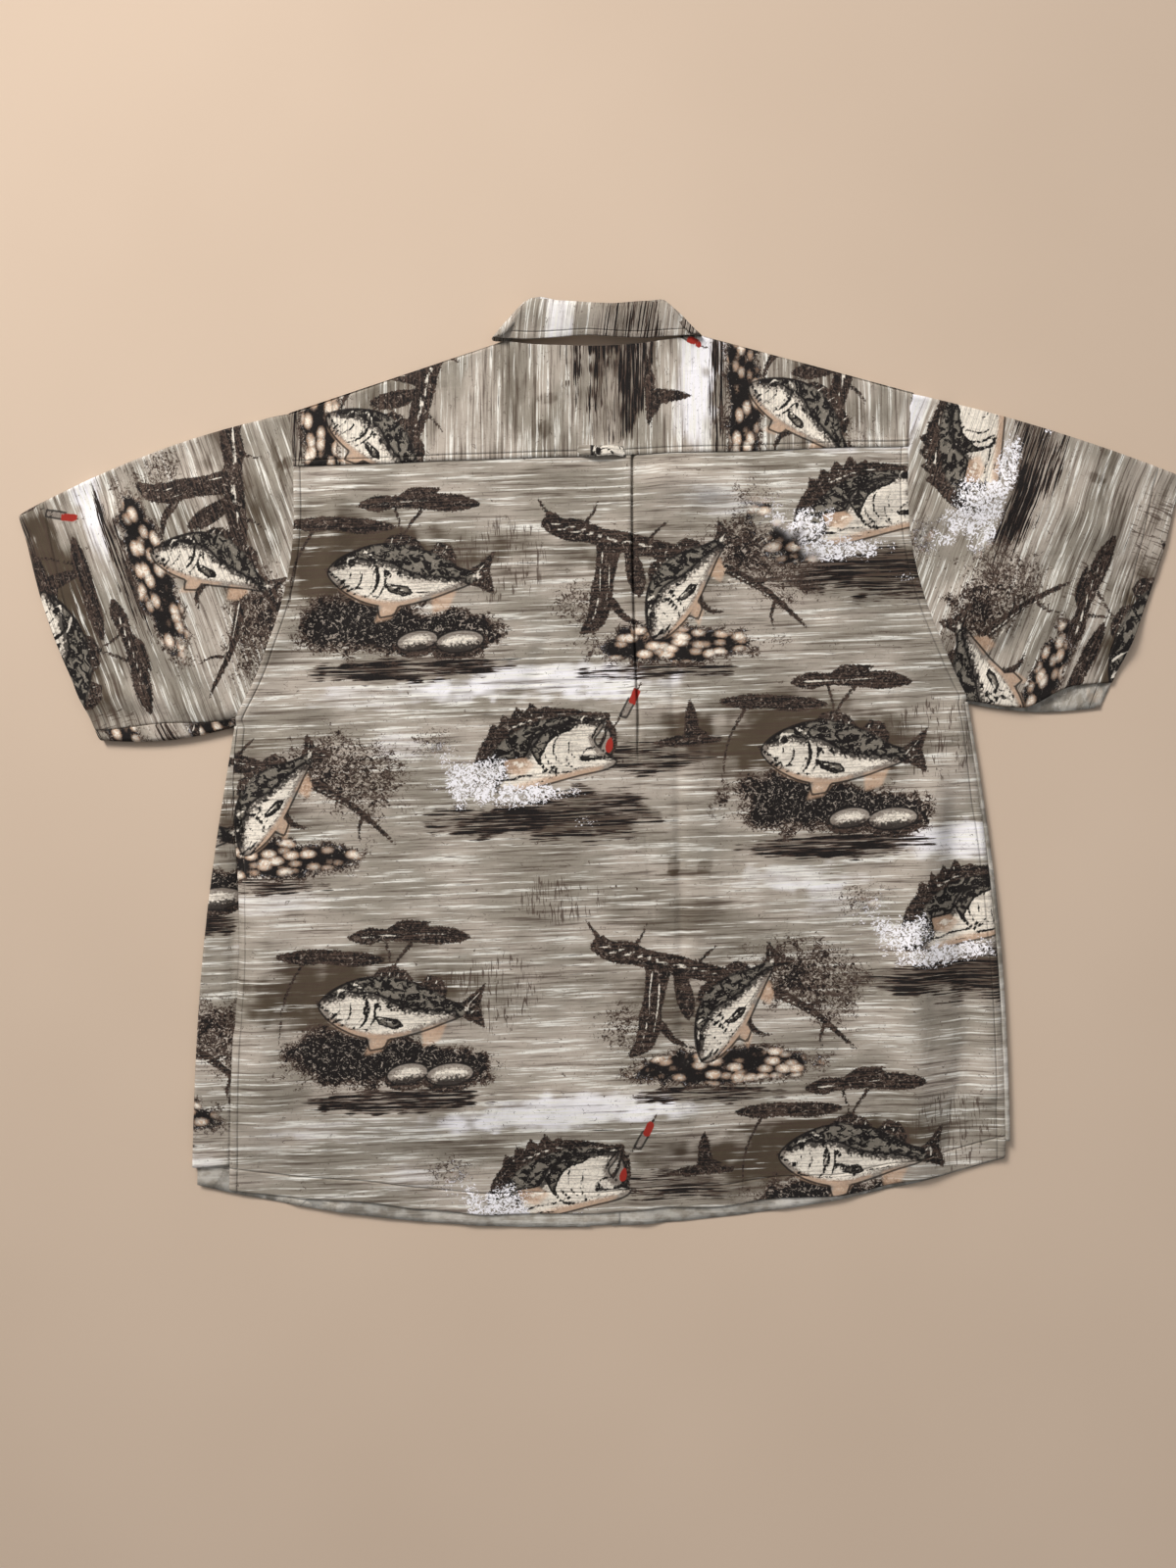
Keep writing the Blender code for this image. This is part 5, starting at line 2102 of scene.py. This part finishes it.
        w = width[:, 0]
        if self.side is Side.LEFT:
            lift = self.raised(a[:, 0])
            for k in (1.12, 1.0, 0.93, 0.8, 0.65, 0.5, 0.35):
                d = r + (lift - r) * k
                p = shape.place(a[:, 0], d / w)
                x, y = cut.lay(p[:, 0], p[:, 1])
                add(
                    d / w, drape.top(x, y) - (0.0016 if k > 1 else 0.0010 if k == 1.0 else 0.0),
                    0.5 if k == 1.0 else 0.0,
                )
            for k in (1.0, 0.75, 0.45, 0.2, 0.05, 0.0):
                p = shape.place(a[:, 0], r * k / w)
                x, y = cut.lay(p[:, 0], p[:, 1])
                add(r * k / w, drape.top(x, y))
            for k in (0.05, 0.2, 0.45, 0.75, 1.0):
                add(r * k / w, rest + r - math.sqrt(max(0.0, r * r - (r - r * k) ** 2)))
        else:
            add(0.0 * w, rest + 0.0012)
        for k in np.linspace(0.03, 0.98, 46):
            add(np.full(w.shape, k), rest + 0.0004 + 0.0008 * np.sin(9 * a[:, 0] + 5 * k) ** 2)
        points = np.stack(parts, axis=0)[::-1]
        seam = np.stack(seams, axis=0)[::-1]
        if flip:
            points, seam = points[:, ::-1], seam[:, ::-1]
        turn = -60.0 if flip else 65.0
        grain = Grain(
            turn, (0.42 * self.side.value, 0.10),
            (
                Spot(Scene.DRIFTWOOD, 0.02, 0.0), Spot(Scene.STONES, -0.14, 0.06),
                Spot(Scene.LEAPING, 0.16, 0.05),
            ),
        )
        panel.both_faces(points, grain, STIFF_CLOTH, seam, slots=(0, 1))


# Fronts


@dataclass
class Front:
    """One front of the shirt, with its band, collar end and, on one side, a pocket."""

    room: Workroom
    side: Side
    step: float = 0.006
    middle: float = 0.010
    neck_drop: float = 0.087
    fold_drop: float = 0.026
    fold_x: float = 0.100
    turn: float = 0.010

    def rise(self, x: Array) -> Array:
        """How the upper front climbs over the other's band.

        Args:
            x: Places across, outward from the middle.

        Returns:
            How far it climbs at each place.
        """
        if self.side is Side.LEFT:
            return np.zeros(np.shape(x))
        return 0.0040 * ease((0.070 - x) / 0.046)

    def inner_x(self, y: Array) -> Array:
        """The front's inner edge: the centre line, then the neckline.

        Args:
            y: Heights on the cut.

        Returns:
            How far out the edge lies at each height.
        """
        t = np.sqrt(np.clip(1 - ((-self.fold_drop - y) / (self.neck_drop - self.fold_drop)) ** 2, 0, 1))
        curve = self.middle + (self.fold_x - self.middle) * t
        x = np.where(y < -self.neck_drop, self.middle, curve)
        return np.where(
            y > -self.fold_drop, self.fold_x - 0.008 * ease((y + self.fold_drop) / self.fold_drop), x
        )

    def outer_x(self, y: Array) -> Array:
        """The front's outer edge: side seam, armhole, then shoulder.

        Args:
            y: Heights on the cut.

        Returns:
            How far out the edge lies at each height.
        """
        cut = self.room.lines
        shoulder = cut.neck_half + (cut.shoulder_half - cut.neck_half) * np.clip(-y / cut.shoulder_drop, 0, 1)
        return np.where(y > -cut.shoulder_drop, shoulder, cut.half_width(y)) - 0.0045

    def make_panel(self) -> bpy.types.Object:
        """The front panel, which lies under the back.

        Returns:
            The piece.
        """
        cut, drape, s = self.room.lines, self.room.drape, self.side.value
        low, top = cut.corner_y, -0.006
        rows = stations(0, 0, 0.006, 0.012, 0.0195, (0.0205, 0, 1.0), 0.0215)
        rows += shares(*steps_between(0.038, 1.0, self.step / (top - low)), 1.0)
        share, offset, _, lined = (part[:, None] for part in measured(rows))
        y_row = low + share * (top - low) + offset
        f = np.linspace(0, 1, 66)[None, :]
        inner, outer = self.inner_x(y_row), self.outer_x(y_row)
        x = s * between(inner, np.maximum(outer, inner + 0.002), f)
        y = y_row + (cut.hem_drop(x) - cut.front_extra) * (1 - share)
        fx, fy = cut.lay(x, y)
        wave = 0.0012 * (1 - ease((y_row - low) / 0.05)) * (1 + ripple(fx / 0.045, fy * 0, 5))
        z = drape.bottom(fx, fy) + wave + self.rise(s * x) + 0.0004
        z = np.clip(z, 0.0008, np.maximum(0.0010, drape.top(fx, fy) - 0.0024))
        seam = np.broadcast_to(lined, x.shape)
        points = joined(fx, fy, z)
        if self.side is Side.LEFT:
            points, seam = points[:, ::-1], seam[:, ::-1]
        spots = tuple(
            Spot(*spot)
            for spot in (
                (Scene.STONES, 0.2 * s, 0.1), (Scene.LEAPING, 0.12 * s, -0.1),
                (Scene.DRIFTWOOD, 0.26 * s, -0.22), (Scene.STONES, 0.1 * s, -0.33),
                (Scene.LEAPING, 0.30 * s, -0.39),
            )
        )
        panel = self.room.panel(f"{self.side.label}_front_cloth")
        panel.both_faces(points, Grain(0.0, (0.0, 0.0), spots), STIFF_CLOTH, seam, slots=(1, 0))
        fold_low = np.array(
            cut.lay(
                s * (cut.hem_half - 0.028), low + float(cut.hem_drop(cut.hem_half - 0.028)) - cut.front_extra
            )
        )
        fold_high = np.array(cut.lay(s * self.fold_x, -self.fold_drop))
        run = (fold_high - fold_low) / np.linalg.norm(fold_high - fold_low)
        inward = np.array([-run[1], run[0]]) * s
        mid = (fold_low + fold_high) / 2
        start, end = mid - inward * self.turn, mid + inward * self.turn
        name = self.side.label
        nodes = (f"front_{name}_side", f"front_{name}_centre", f"hem_front_{name}")
        bend = Bend(f"{name}_front", (*start, 0.001), (*end, 0.001))
        return panel.finish("torso", nodes, "laid", bend=bend)

    def patch(
        self, name: str, first: Array, second: Array, z: Array | float, node: str, rows: int = 12,
        seam_edges: bool = True, slots: tuple[int, int] = (1, 0), held: str = "laid",
    ) -> bpy.types.Object:
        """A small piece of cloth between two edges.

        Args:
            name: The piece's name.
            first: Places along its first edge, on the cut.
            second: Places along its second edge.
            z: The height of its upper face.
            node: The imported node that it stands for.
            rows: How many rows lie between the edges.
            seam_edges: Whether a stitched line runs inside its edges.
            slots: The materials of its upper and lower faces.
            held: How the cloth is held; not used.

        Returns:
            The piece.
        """
        v = np.linspace(0, 1, rows)[:, None, None]
        plan = between(first[None], second[None], v)
        points = self.room.laid(plan[..., 0], plan[..., 1], z)
        seam = np.zeros(points.shape[:2])
        if seam_edges:
            seam[1, :] = seam[-2, :] = 1.0
        normal = facing(points)[..., 2].mean()
        if normal < 0:
            points, seam = points[:, ::-1], seam[:, ::-1]
        panel = self.room.panel(name)
        panel.both_faces(
            points,
            Grain(
                0.0, (0.0, 0.0),
                (
                    Spot(Scene.STONES, -0.1, 0.13), Spot(Scene.DRIFTWOOD, 0.1, 0.3),
                    Spot(Scene.LEAPING, 0.0, -0.2), Spot(Scene.STONES, 0.0, 0.0),
                ),
            ),
            CLOTH, seam, slots,
        )
        return panel.finish(f"{self.side.label}_front", (node,), held)

    def make_band(self) -> bpy.types.Object:
        """The buttoning band along the front's edge.

        Returns:
            The piece.
        """
        name = f"placket_{self.side.label}"
        low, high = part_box(name)
        cut = self.room.lines
        xs = [
            low[0], low[0] + 0.003, low[0] + 0.004, *np.linspace(low[0] + 0.006, high[0] - 0.006, 8),
            high[0] - 0.004, high[0] - 0.003, high[0],
        ]
        foot = low[1] - cut.neck_y
        ys = np.linspace(foot + 0.001, -self.neck_drop, 150)
        first = np.stack([np.array(xs), np.full(len(xs), ys[0])], axis=-1)
        second = np.stack([np.array(xs), np.full(len(xs), ys[-1])], axis=-1)
        under = self.room.drape.top(*cut.lay(np.array(xs)[None, :], ys[:, None])) - 0.0020
        z = np.maximum(0.0012, np.minimum(float(high[2]), under))
        return self.patch(f"{name}_cloth", first, second, z, name, 150, False)

    def make_collar_end(self) -> list[bpy.types.Object]:
        """The collar's stand along the front neckline, and its point below.

        Returns:
            The pieces.
        """
        s, name = self.side.value, self.side.label
        t = np.linspace(0.06, 0.80, 30)
        x = s * (self.middle + (self.fold_x - self.middle) * t)
        y = -self.fold_drop - (self.neck_drop - self.fold_drop) * np.sqrt(1 - t**2)
        low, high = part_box(f"collar_stand_{name}")
        z = float(low[2]) + 0.0006 + self.rise(s * x)[None, :]
        stand = self.patch(
            f"collar_stand_{name}_cloth", np.stack([x, y - 0.006], -1), np.stack([x, y + 0.026], -1), z,
            f"collar_stand_{name}", 10,
        )
        low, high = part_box(f"collar_point_{name}")
        near = 0.0192
        t = np.linspace(0.20, 0.70, 16)
        nx, ny = s * (self.middle + (self.fold_x - self.middle) * t), -self.fold_drop - (
            self.neck_drop - self.fold_drop
        ) * np.sqrt(1 - t**2) + 0.013
        tip = np.array([s * (near + 0.0463), -self.neck_drop - 0.0552])
        k = np.linspace(0, 1, 16)[:, None]
        edge = between(np.array([s * near, -self.neck_drop]), tip, k)
        point = self.patch(
            f"collar_point_{name}_cloth", edge, np.stack([nx, ny], -1), float(high[2]),
            f"collar_point_{name}", 14,
        )
        return [stand, point]

    def make_pocket(self) -> bpy.types.Object:
        """The chest pocket, with a shallow point below.

        Returns:
            The piece.
        """
        low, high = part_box("chest_pocket")
        cut = self.room.lines
        xs = np.linspace(low[0], high[0], 46)
        top = np.stack([xs, np.full(46, high[1] - cut.neck_y + 0.001)], -1)
        mid = (low[0] + high[0]) / 2
        bottom_y = high[1] - cut.neck_y - 0.122 + 0.012 * np.abs(xs - mid) / (high[0] - low[0]) * 2
        bottom = np.stack([xs, bottom_y], -1)
        return self.patch("chest_pocket_cloth", bottom, top, float(high[2]), "chest_pocket", 50)

    def dress_buttons(self) -> None:
        """Gives the buttons and their thread their finishes."""
        nodes, finishes = frame["nodes"], self.room.finishes
        for number in range(1, 8):
            for node, material in (
                (f"button_{number}", finishes.button), (f"button_thread_{number}", finishes.thread)
            ):
                for slot in nodes[node].material_slots:
                    slot.material = material

    def build(self) -> list[bpy.types.Object]:
        """Every piece of this front.

        Returns:
            The pieces.
        """
        pieces = [self.make_panel(), self.make_band(), *self.make_collar_end()]
        if self.side is Side.LEFT:
            pieces.append(self.make_pocket())
        else:
            self.dress_buttons()
        return pieces


# Collar, loop and labels


@dataclass
class Collar:
    """The stand round the back of the neck and the leaf folded down over it."""

    room: Workroom
    leaf_edge: tuple[Point, ...] = (
        (-0.099, 0.392), (-0.074, 0.3895), (-0.038, 0.390), (-0.013, 0.3925), (0.021, 0.3905), (0.043, 0.390),
        (0.073, 0.3925), (0.091, 0.3945),
    )
    fold_edge: tuple[Point, ...] = (
        (-0.070, 0.4245), (-0.055, 0.4268), (-0.041, 0.4228), (-0.010, 0.4210), (0.012, 0.4200),
        (0.045, 0.4228), (0.056, 0.4248), (0.064, 0.4205),
    )
    puff: float = 0.0026
    hinge: Point = (0.0, 0.4254)
    slant: float = 0.033
    turn: tuple[float, float] = (0.0064, 0.0096)

    def _edge(self, edge: Sequence[Point], u: Array) -> Array:
        """A smooth line along an edge, at shares from its left end.

        Args:
            edge: The edge's corners, in the frame.
            u: Shares of its length.

        Returns:
            A place for each share.
        """
        xs = np.array([p[0] for p in edge])
        t = (xs - xs[0]) / (xs[-1] - xs[0])
        ys = np.interp(u, t, [p[1] for p in edge])
        for _ in range(3):
            ys = np.concatenate([ys[:1], (ys[:-2] + 2 * ys[1:-1] + ys[2:]) / 4, ys[-1:]])
        return np.stack([between(xs[0], xs[-1], u), ys], axis=-1)

    def make_leaf(self) -> bpy.types.Object:
        """The leaf, lifting a little along its lower edge.

        Returns:
            The piece.
        """
        top = float(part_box("collar_leaf")[1][2])
        u = np.concatenate(
            [[0, 0.004, 0.01, 0.018, 0.026], np.linspace(0.034, 0.966, 78), [0.974, 0.982, 0.99, 0.996, 1.0]]
        )
        v = np.array(
            [
                0.0, 0.02, 0.05, 0.09, 0.13, 0.16, 0.19, 0.24, 0.3, 0.36, 0.42, 0.48, 0.54, 0.6, 0.65,
                *np.linspace(0.69, 1.0, 27),
            ]
        )[:, None, None]
        low, high = self._edge(self.leaf_edge, u), self._edge(self.fold_edge, u)
        plan = between(low[None], high[None], v)
        v2 = v[..., 0]
        end = np.minimum(u, 1 - u)[None, :]
        droop = 0.0050 * (1 - ease(end / 0.05)) ** 1.5 + 0.0022 * (1 - ease(end / 0.25))
        wave = 0.0011 * ripple(u * 5.2, u * 0, 3)[None, :] + 0.0006 * ripple(u[None, :] * 9 + v2, v2 * 3, 9)
        body = self.puff * np.sin(np.pi * np.clip(v2, 0, 1) ** 0.75) ** 0.8
        near = self.room.drape.top(low[:, 0], low[:, 1])[None, :] + 0.0030
        z = between(near, top + 0.0006 - droop, ease(v2 / 0.75)) + 0.7 * body + 0.6 * wave - 0.0016 * ease(
            (v2 - 0.86) / 0.14
        )
        points = np.concatenate([plan, z[..., None]], axis=-1)
        seam = np.zeros(points.shape[:2])
        seam[5, :] = 1.0
        seam[5:, 4] = seam[5:, -5] = 1.0
        panel = self.room.panel("collar_leaf_cloth")
        grain = Grain.laid(82.0, Spot(Scene.WATER, 0.028, 0.412), Spot(Scene.WATER, -0.140, 0.420))
        panel.both_faces(points, grain, 0.0013, seam, slots=(0, 0))
        hinge, axis = np.array(self.hinge), np.array([-self.slant, 1.0])
        start, end = (hinge - reach * axis for reach in self.turn)
        bend = Bend("collar", (*start, top), (*end, top))
        return panel.finish("torso", ("collar_leaf",), "folded", ["yoke_cloth"], bend=bend)

    def make_stand(self) -> bpy.types.Object:
        """The stand, which turns down round the sides of the neck to the fronts.

        Returns:
            The piece.
        """
        cut = self.room.lines
        base = float(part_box("collar_stand")[0][2])
        u = np.linspace(0, 1, 70)
        low = self._edge(self.leaf_edge, u)
        low = np.stack([low[:, 0] * 0.93, low[:, 1] - cut.neck_y - cut.askew * low[:, 0] + 0.004], axis=-1)
        high = self._edge(self.fold_edge, u)
        high = np.stack(
            [high[:, 0] * 0.985, high[:, 1] - cut.neck_y - cut.askew * high[:, 0] - 0.0006], axis=-1
        )
        v = np.linspace(0, 1, 16)[:, None, None]
        plan = between(low[None], high[None], v)
        end = np.minimum(u, 1 - u)[None, :]
        near = self.room.drape.top(*cut.lay(low[:, 0], low[:, 1]))[None, :] + 0.0008
        z = between(near, base + 0.0006 - 0.0060 * (1 - ease(end / 0.10)), ease(v[..., 0]))
        points = self.room.laid(plan[..., 0], plan[..., 1], z)
        seam = np.zeros(points.shape[:2])
        seam[3, :] = seam[-3, :] = 1.0
        panel = self.room.panel("collar_stand_cloth")
        panel.both_faces(points, Grain.laid(90.0, Spot(Scene.WATER, 0.02, 0.40)), 0.0010, seam, slots=(0, 0))
        for side in Side:
            self._neck_side(panel, side)
        return panel.finish("torso", ("collar_stand",), "folded", ["yoke_cloth"], (0.30, 0.05))

    def _neck_side(self, panel: Panel, side: Side) -> None:
        """Adds the part of the collar that turns down round the side of the neck.

        Args:
            panel: The panel that it goes into.
            side: Which side.
        """
        s = side.value
        low = np.array(self.leaf_edge[0 if s < 0 else -1])
        high = np.array(self.fold_edge[0 if s < 0 else -1])
        v = np.linspace(0, 1, 14)[:, None]
        edge = between(low[None], high[None], v)
        rows = []
        for out, z in (
            (-0.010, 0.0160), (-0.004, 0.0158), (-0.0012, 0.0146), (0.0, 0.0120), (0.0008, 0.0085),
            (0.0, 0.0050), (-0.002, 0.0028), (-0.007, 0.0018), (-0.016, 0.0016),
        ):
            shift = np.array([s * (out + 0.0008), 0.0])
            rows.append(np.concatenate([edge + shift - np.array([0, 0.001]), np.full((14, 1), z)], axis=-1))
        points = np.stack(rows, axis=1)
        if side is Side.LEFT:
            points = points[:, ::-1]
        panel.both_faces(
            points, Grain.laid(80.0, Spot(Scene.WATER, 0.08, 0.40), Spot(Scene.WATER, -0.13, 0.40)), 0.0009,
            None, slots=(0, 0),
        )

    def build(self) -> list[bpy.types.Object]:
        """Both pieces of the collar's back."""
        return [self.make_stand(), self.make_leaf()]


@dataclass
class SmallParts:
    """The locker loop and the two blank labels."""

    room: Workroom

    def make_loop(self) -> bpy.types.Object:
        """The loop below the yoke's middle, tacked at both ends.

        Returns:
            The piece.
        """
        low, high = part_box("locker_loop")
        drape = self.room.drape
        u = np.linspace(0, 1, 46)[None, :]
        v = np.array([0.0, 0.06, 0.16, 0.3, 0.5, 0.7, 0.84, 0.94, 1.0])[:, None]
        x = between(low[0], high[0], u) + 0 * v
        y = between(low[1] + 0.0006, high[1] - 0.0006, v) + 0.0006 * np.sin(3.4 * np.pi * u)
        base = float(drape.top(np.array([0.0]), np.array([(low[1] + high[1]) / 2]))[0])
        arch = ease(np.minimum(u, 1 - u) / 0.32)
        z = base + 0.0018 + 0.0034 * arch - 0.0005 * (2 * v - 1) ** 4
        points = joined(x, y, z)
        seam = np.zeros(points.shape[:2])
        seam[1, :] = seam[-2, :] = 0.7
        panel = self.room.panel("locker_loop_cloth")
        panel.both_faces(
            points, Grain(0.0, (0.0, 0.25), (Spot(Scene.DRIFTWOOD, 0.02, 0.06),)), 0.0011, seam, slots=(0, 0)
        )
        return panel.finish("loop", ("locker_loop",), "stretched", ["yoke_cloth"])

    def make_label(self, node: str) -> bpy.types.Object:
        """A blank woven label inside the shirt.

        Args:
            node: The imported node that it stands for.

        Returns:
            The piece.
        """
        low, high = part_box(node)
        u = np.linspace(0, 1, 20)[None, :]
        v = np.linspace(0, 1, 14)[:, None]
        in_from_edge = 0.014 if low[0] < -0.3 else 0.0
        x, y = between(low[0], high[0], u) + 0 * v + in_from_edge, between(low[1], high[1], v) + 0 * u
        z = self.room.drape.top(x, y) - 0.0034
        points = joined(x, y, z)
        panel = Panel(f"{node}_tape", self.room.cloth, (self.room.finishes.label,))
        panel.both_faces(points, Grain(0.0, (0.0, 0.0), ()), CLOTH, None, slots=(0, 0))
        return panel.finish("torso", (node,), "stretched", slot="label_cloth")

    def build(self) -> list[bpy.types.Object]:
        """The loop and labels."""
        return [self.make_loop(), self.make_label("neck_label"), self.make_label("care_label")]


# The studio


@dataclass(frozen=True)
class Studio:
    """A plain floor, soft light and a camera straight above."""

    camera_place: tuple[float, float, float] = (-0.012, -0.018, 1.091)
    view_angle: float = 67.3
    floor_colour: tuple[int, int, int] = (186, 164, 143)
    spread: float = 112.0
    sky_width: float = 36.0

    def make_floor(self) -> bpy.types.Object:
        """The floor, matt and plain.

        Returns:
            The floor.
        """
        mesh = bpy.data.meshes.new("floor")
        mesh.from_pydata([(-30, -30, 0), (30, -30, 0), (30, 30, 0), (-30, 30, 0)], [], [(0, 1, 2, 3)])
        r = Recipe("studio_floor")
        soft = r.grain(r.place(), (3.0, 3.0, 3.0), 2.0)
        r.put(r.shader.inputs["Base Color"], r.blend(soft, dye(*self.floor_colour), dye(196, 174, 153)))
        r.shader.inputs["Roughness"].default_value = 0.9
        mesh.materials.append(r.material)
        floor = bpy.data.objects.new("floor", mesh)
        bpy.context.scene.collection.objects.link(floor)
        return floor

    def make_light(
        self, name: str, place: tuple[float, float, float], size: float, power: float,
        colour: tuple[float, float, float],
    ) -> bpy.types.Object:
        """A soft square light aimed at the shirt.

        Args:
            name: The light's name.
            place: Where it hangs.
            size: Its width.
            power: Its power, in watts.
            colour: Its colour.

        Returns:
            The light.
        """
        data = bpy.data.lights.new(name, "AREA")
        data.shape, data.size, data.energy, data.color = "SQUARE", size, power, colour
        data.spread = math.radians(self.spread)
        return self._hang(name, data, place)

    def make_sky_light(self, place: tuple[float, float, float], strength: float) -> bpy.types.Object:
        """Even light from a wide part of the sky, the same all over the floor.

        Args:
            place: Where it comes from.
            strength: How strong it is.

        Returns:
            The light.
        """
        data = bpy.data.lights.new("daylight", "SUN")
        data.energy, data.angle = strength, math.radians(self.sky_width)
        return self._hang("daylight", data, place)

    @staticmethod
    def _hang(name: str, data: bpy.types.Light, place: tuple[float, float, float]) -> bpy.types.Object:
        """A lamp at a place, aimed at the shirt.

        Args:
            name: The lamp's name.
            data: Its light.
            place: Where it hangs.

        Returns:
            The lamp.
        """
        lamp = bpy.data.objects.new(name, data)
        lamp.location = place
        aim = np.array([0.0, 0.05, 0.0]) - np.array(place)
        lamp.rotation_euler = Vector(aim).to_track_quat("-Z", "Y").to_euler()
        bpy.context.scene.collection.objects.link(lamp)
        return lamp

    def make_camera(self) -> bpy.types.Object:
        """The camera, looking straight down with the collar up.

        Returns:
            The camera.
        """
        data = bpy.data.cameras.new("camera")
        data.sensor_fit, data.angle = "VERTICAL", math.radians(self.view_angle)
        data.clip_start, data.clip_end = 0.01, 50.0
        camera = bpy.data.objects.new("camera", data)
        camera.location = self.camera_place
        bpy.context.scene.collection.objects.link(camera)
        bpy.context.scene.camera = camera
        return camera

    def build(self) -> None:
        """Everything round the shirt."""
        self.make_floor()
        self.make_camera()
        self.make_light("key", (-1.5, 2.0, 1.9), 0.9, 36.0, (1.0, 0.985, 0.965))
        self.make_sky_light((-1.5, 2.0, 1.9), 1.1)
        self.make_light("fill", (1.2, 0.4, 2.4), 2.4, 6.0, (0.97, 0.985, 1.0))
        world = bpy.data.worlds.new("studio_air")
        world.use_nodes = True
        world.node_tree.nodes["Background"].inputs["Color"].default_value = (0.92, 0.95, 1.0, 1.0)
        world.node_tree.nodes["Background"].inputs["Strength"].default_value = 0.25
        bpy.context.scene.world = world
        bpy.context.scene.view_settings.view_transform = "Standard"


def main() -> None:
    """Builds the shirt and the studio round it."""
    logging.basicConfig(level=logging.INFO, format="%(name)s: %(message)s")
    lines = ShirtLines()
    room = Workroom(lines, Drape(lines), Print(), Finishes())
    pieces = Back(room).build()
    for side in Side:
        pieces += Front(room, side).build()
        pieces.append(Sleeve(room, side).make())
    pieces += Collar(room).build() + SmallParts(room).build()
    for piece in pieces:
        log.info("made %s", piece.name)
    Studio().build()


if __name__ == "__main__":
    main()
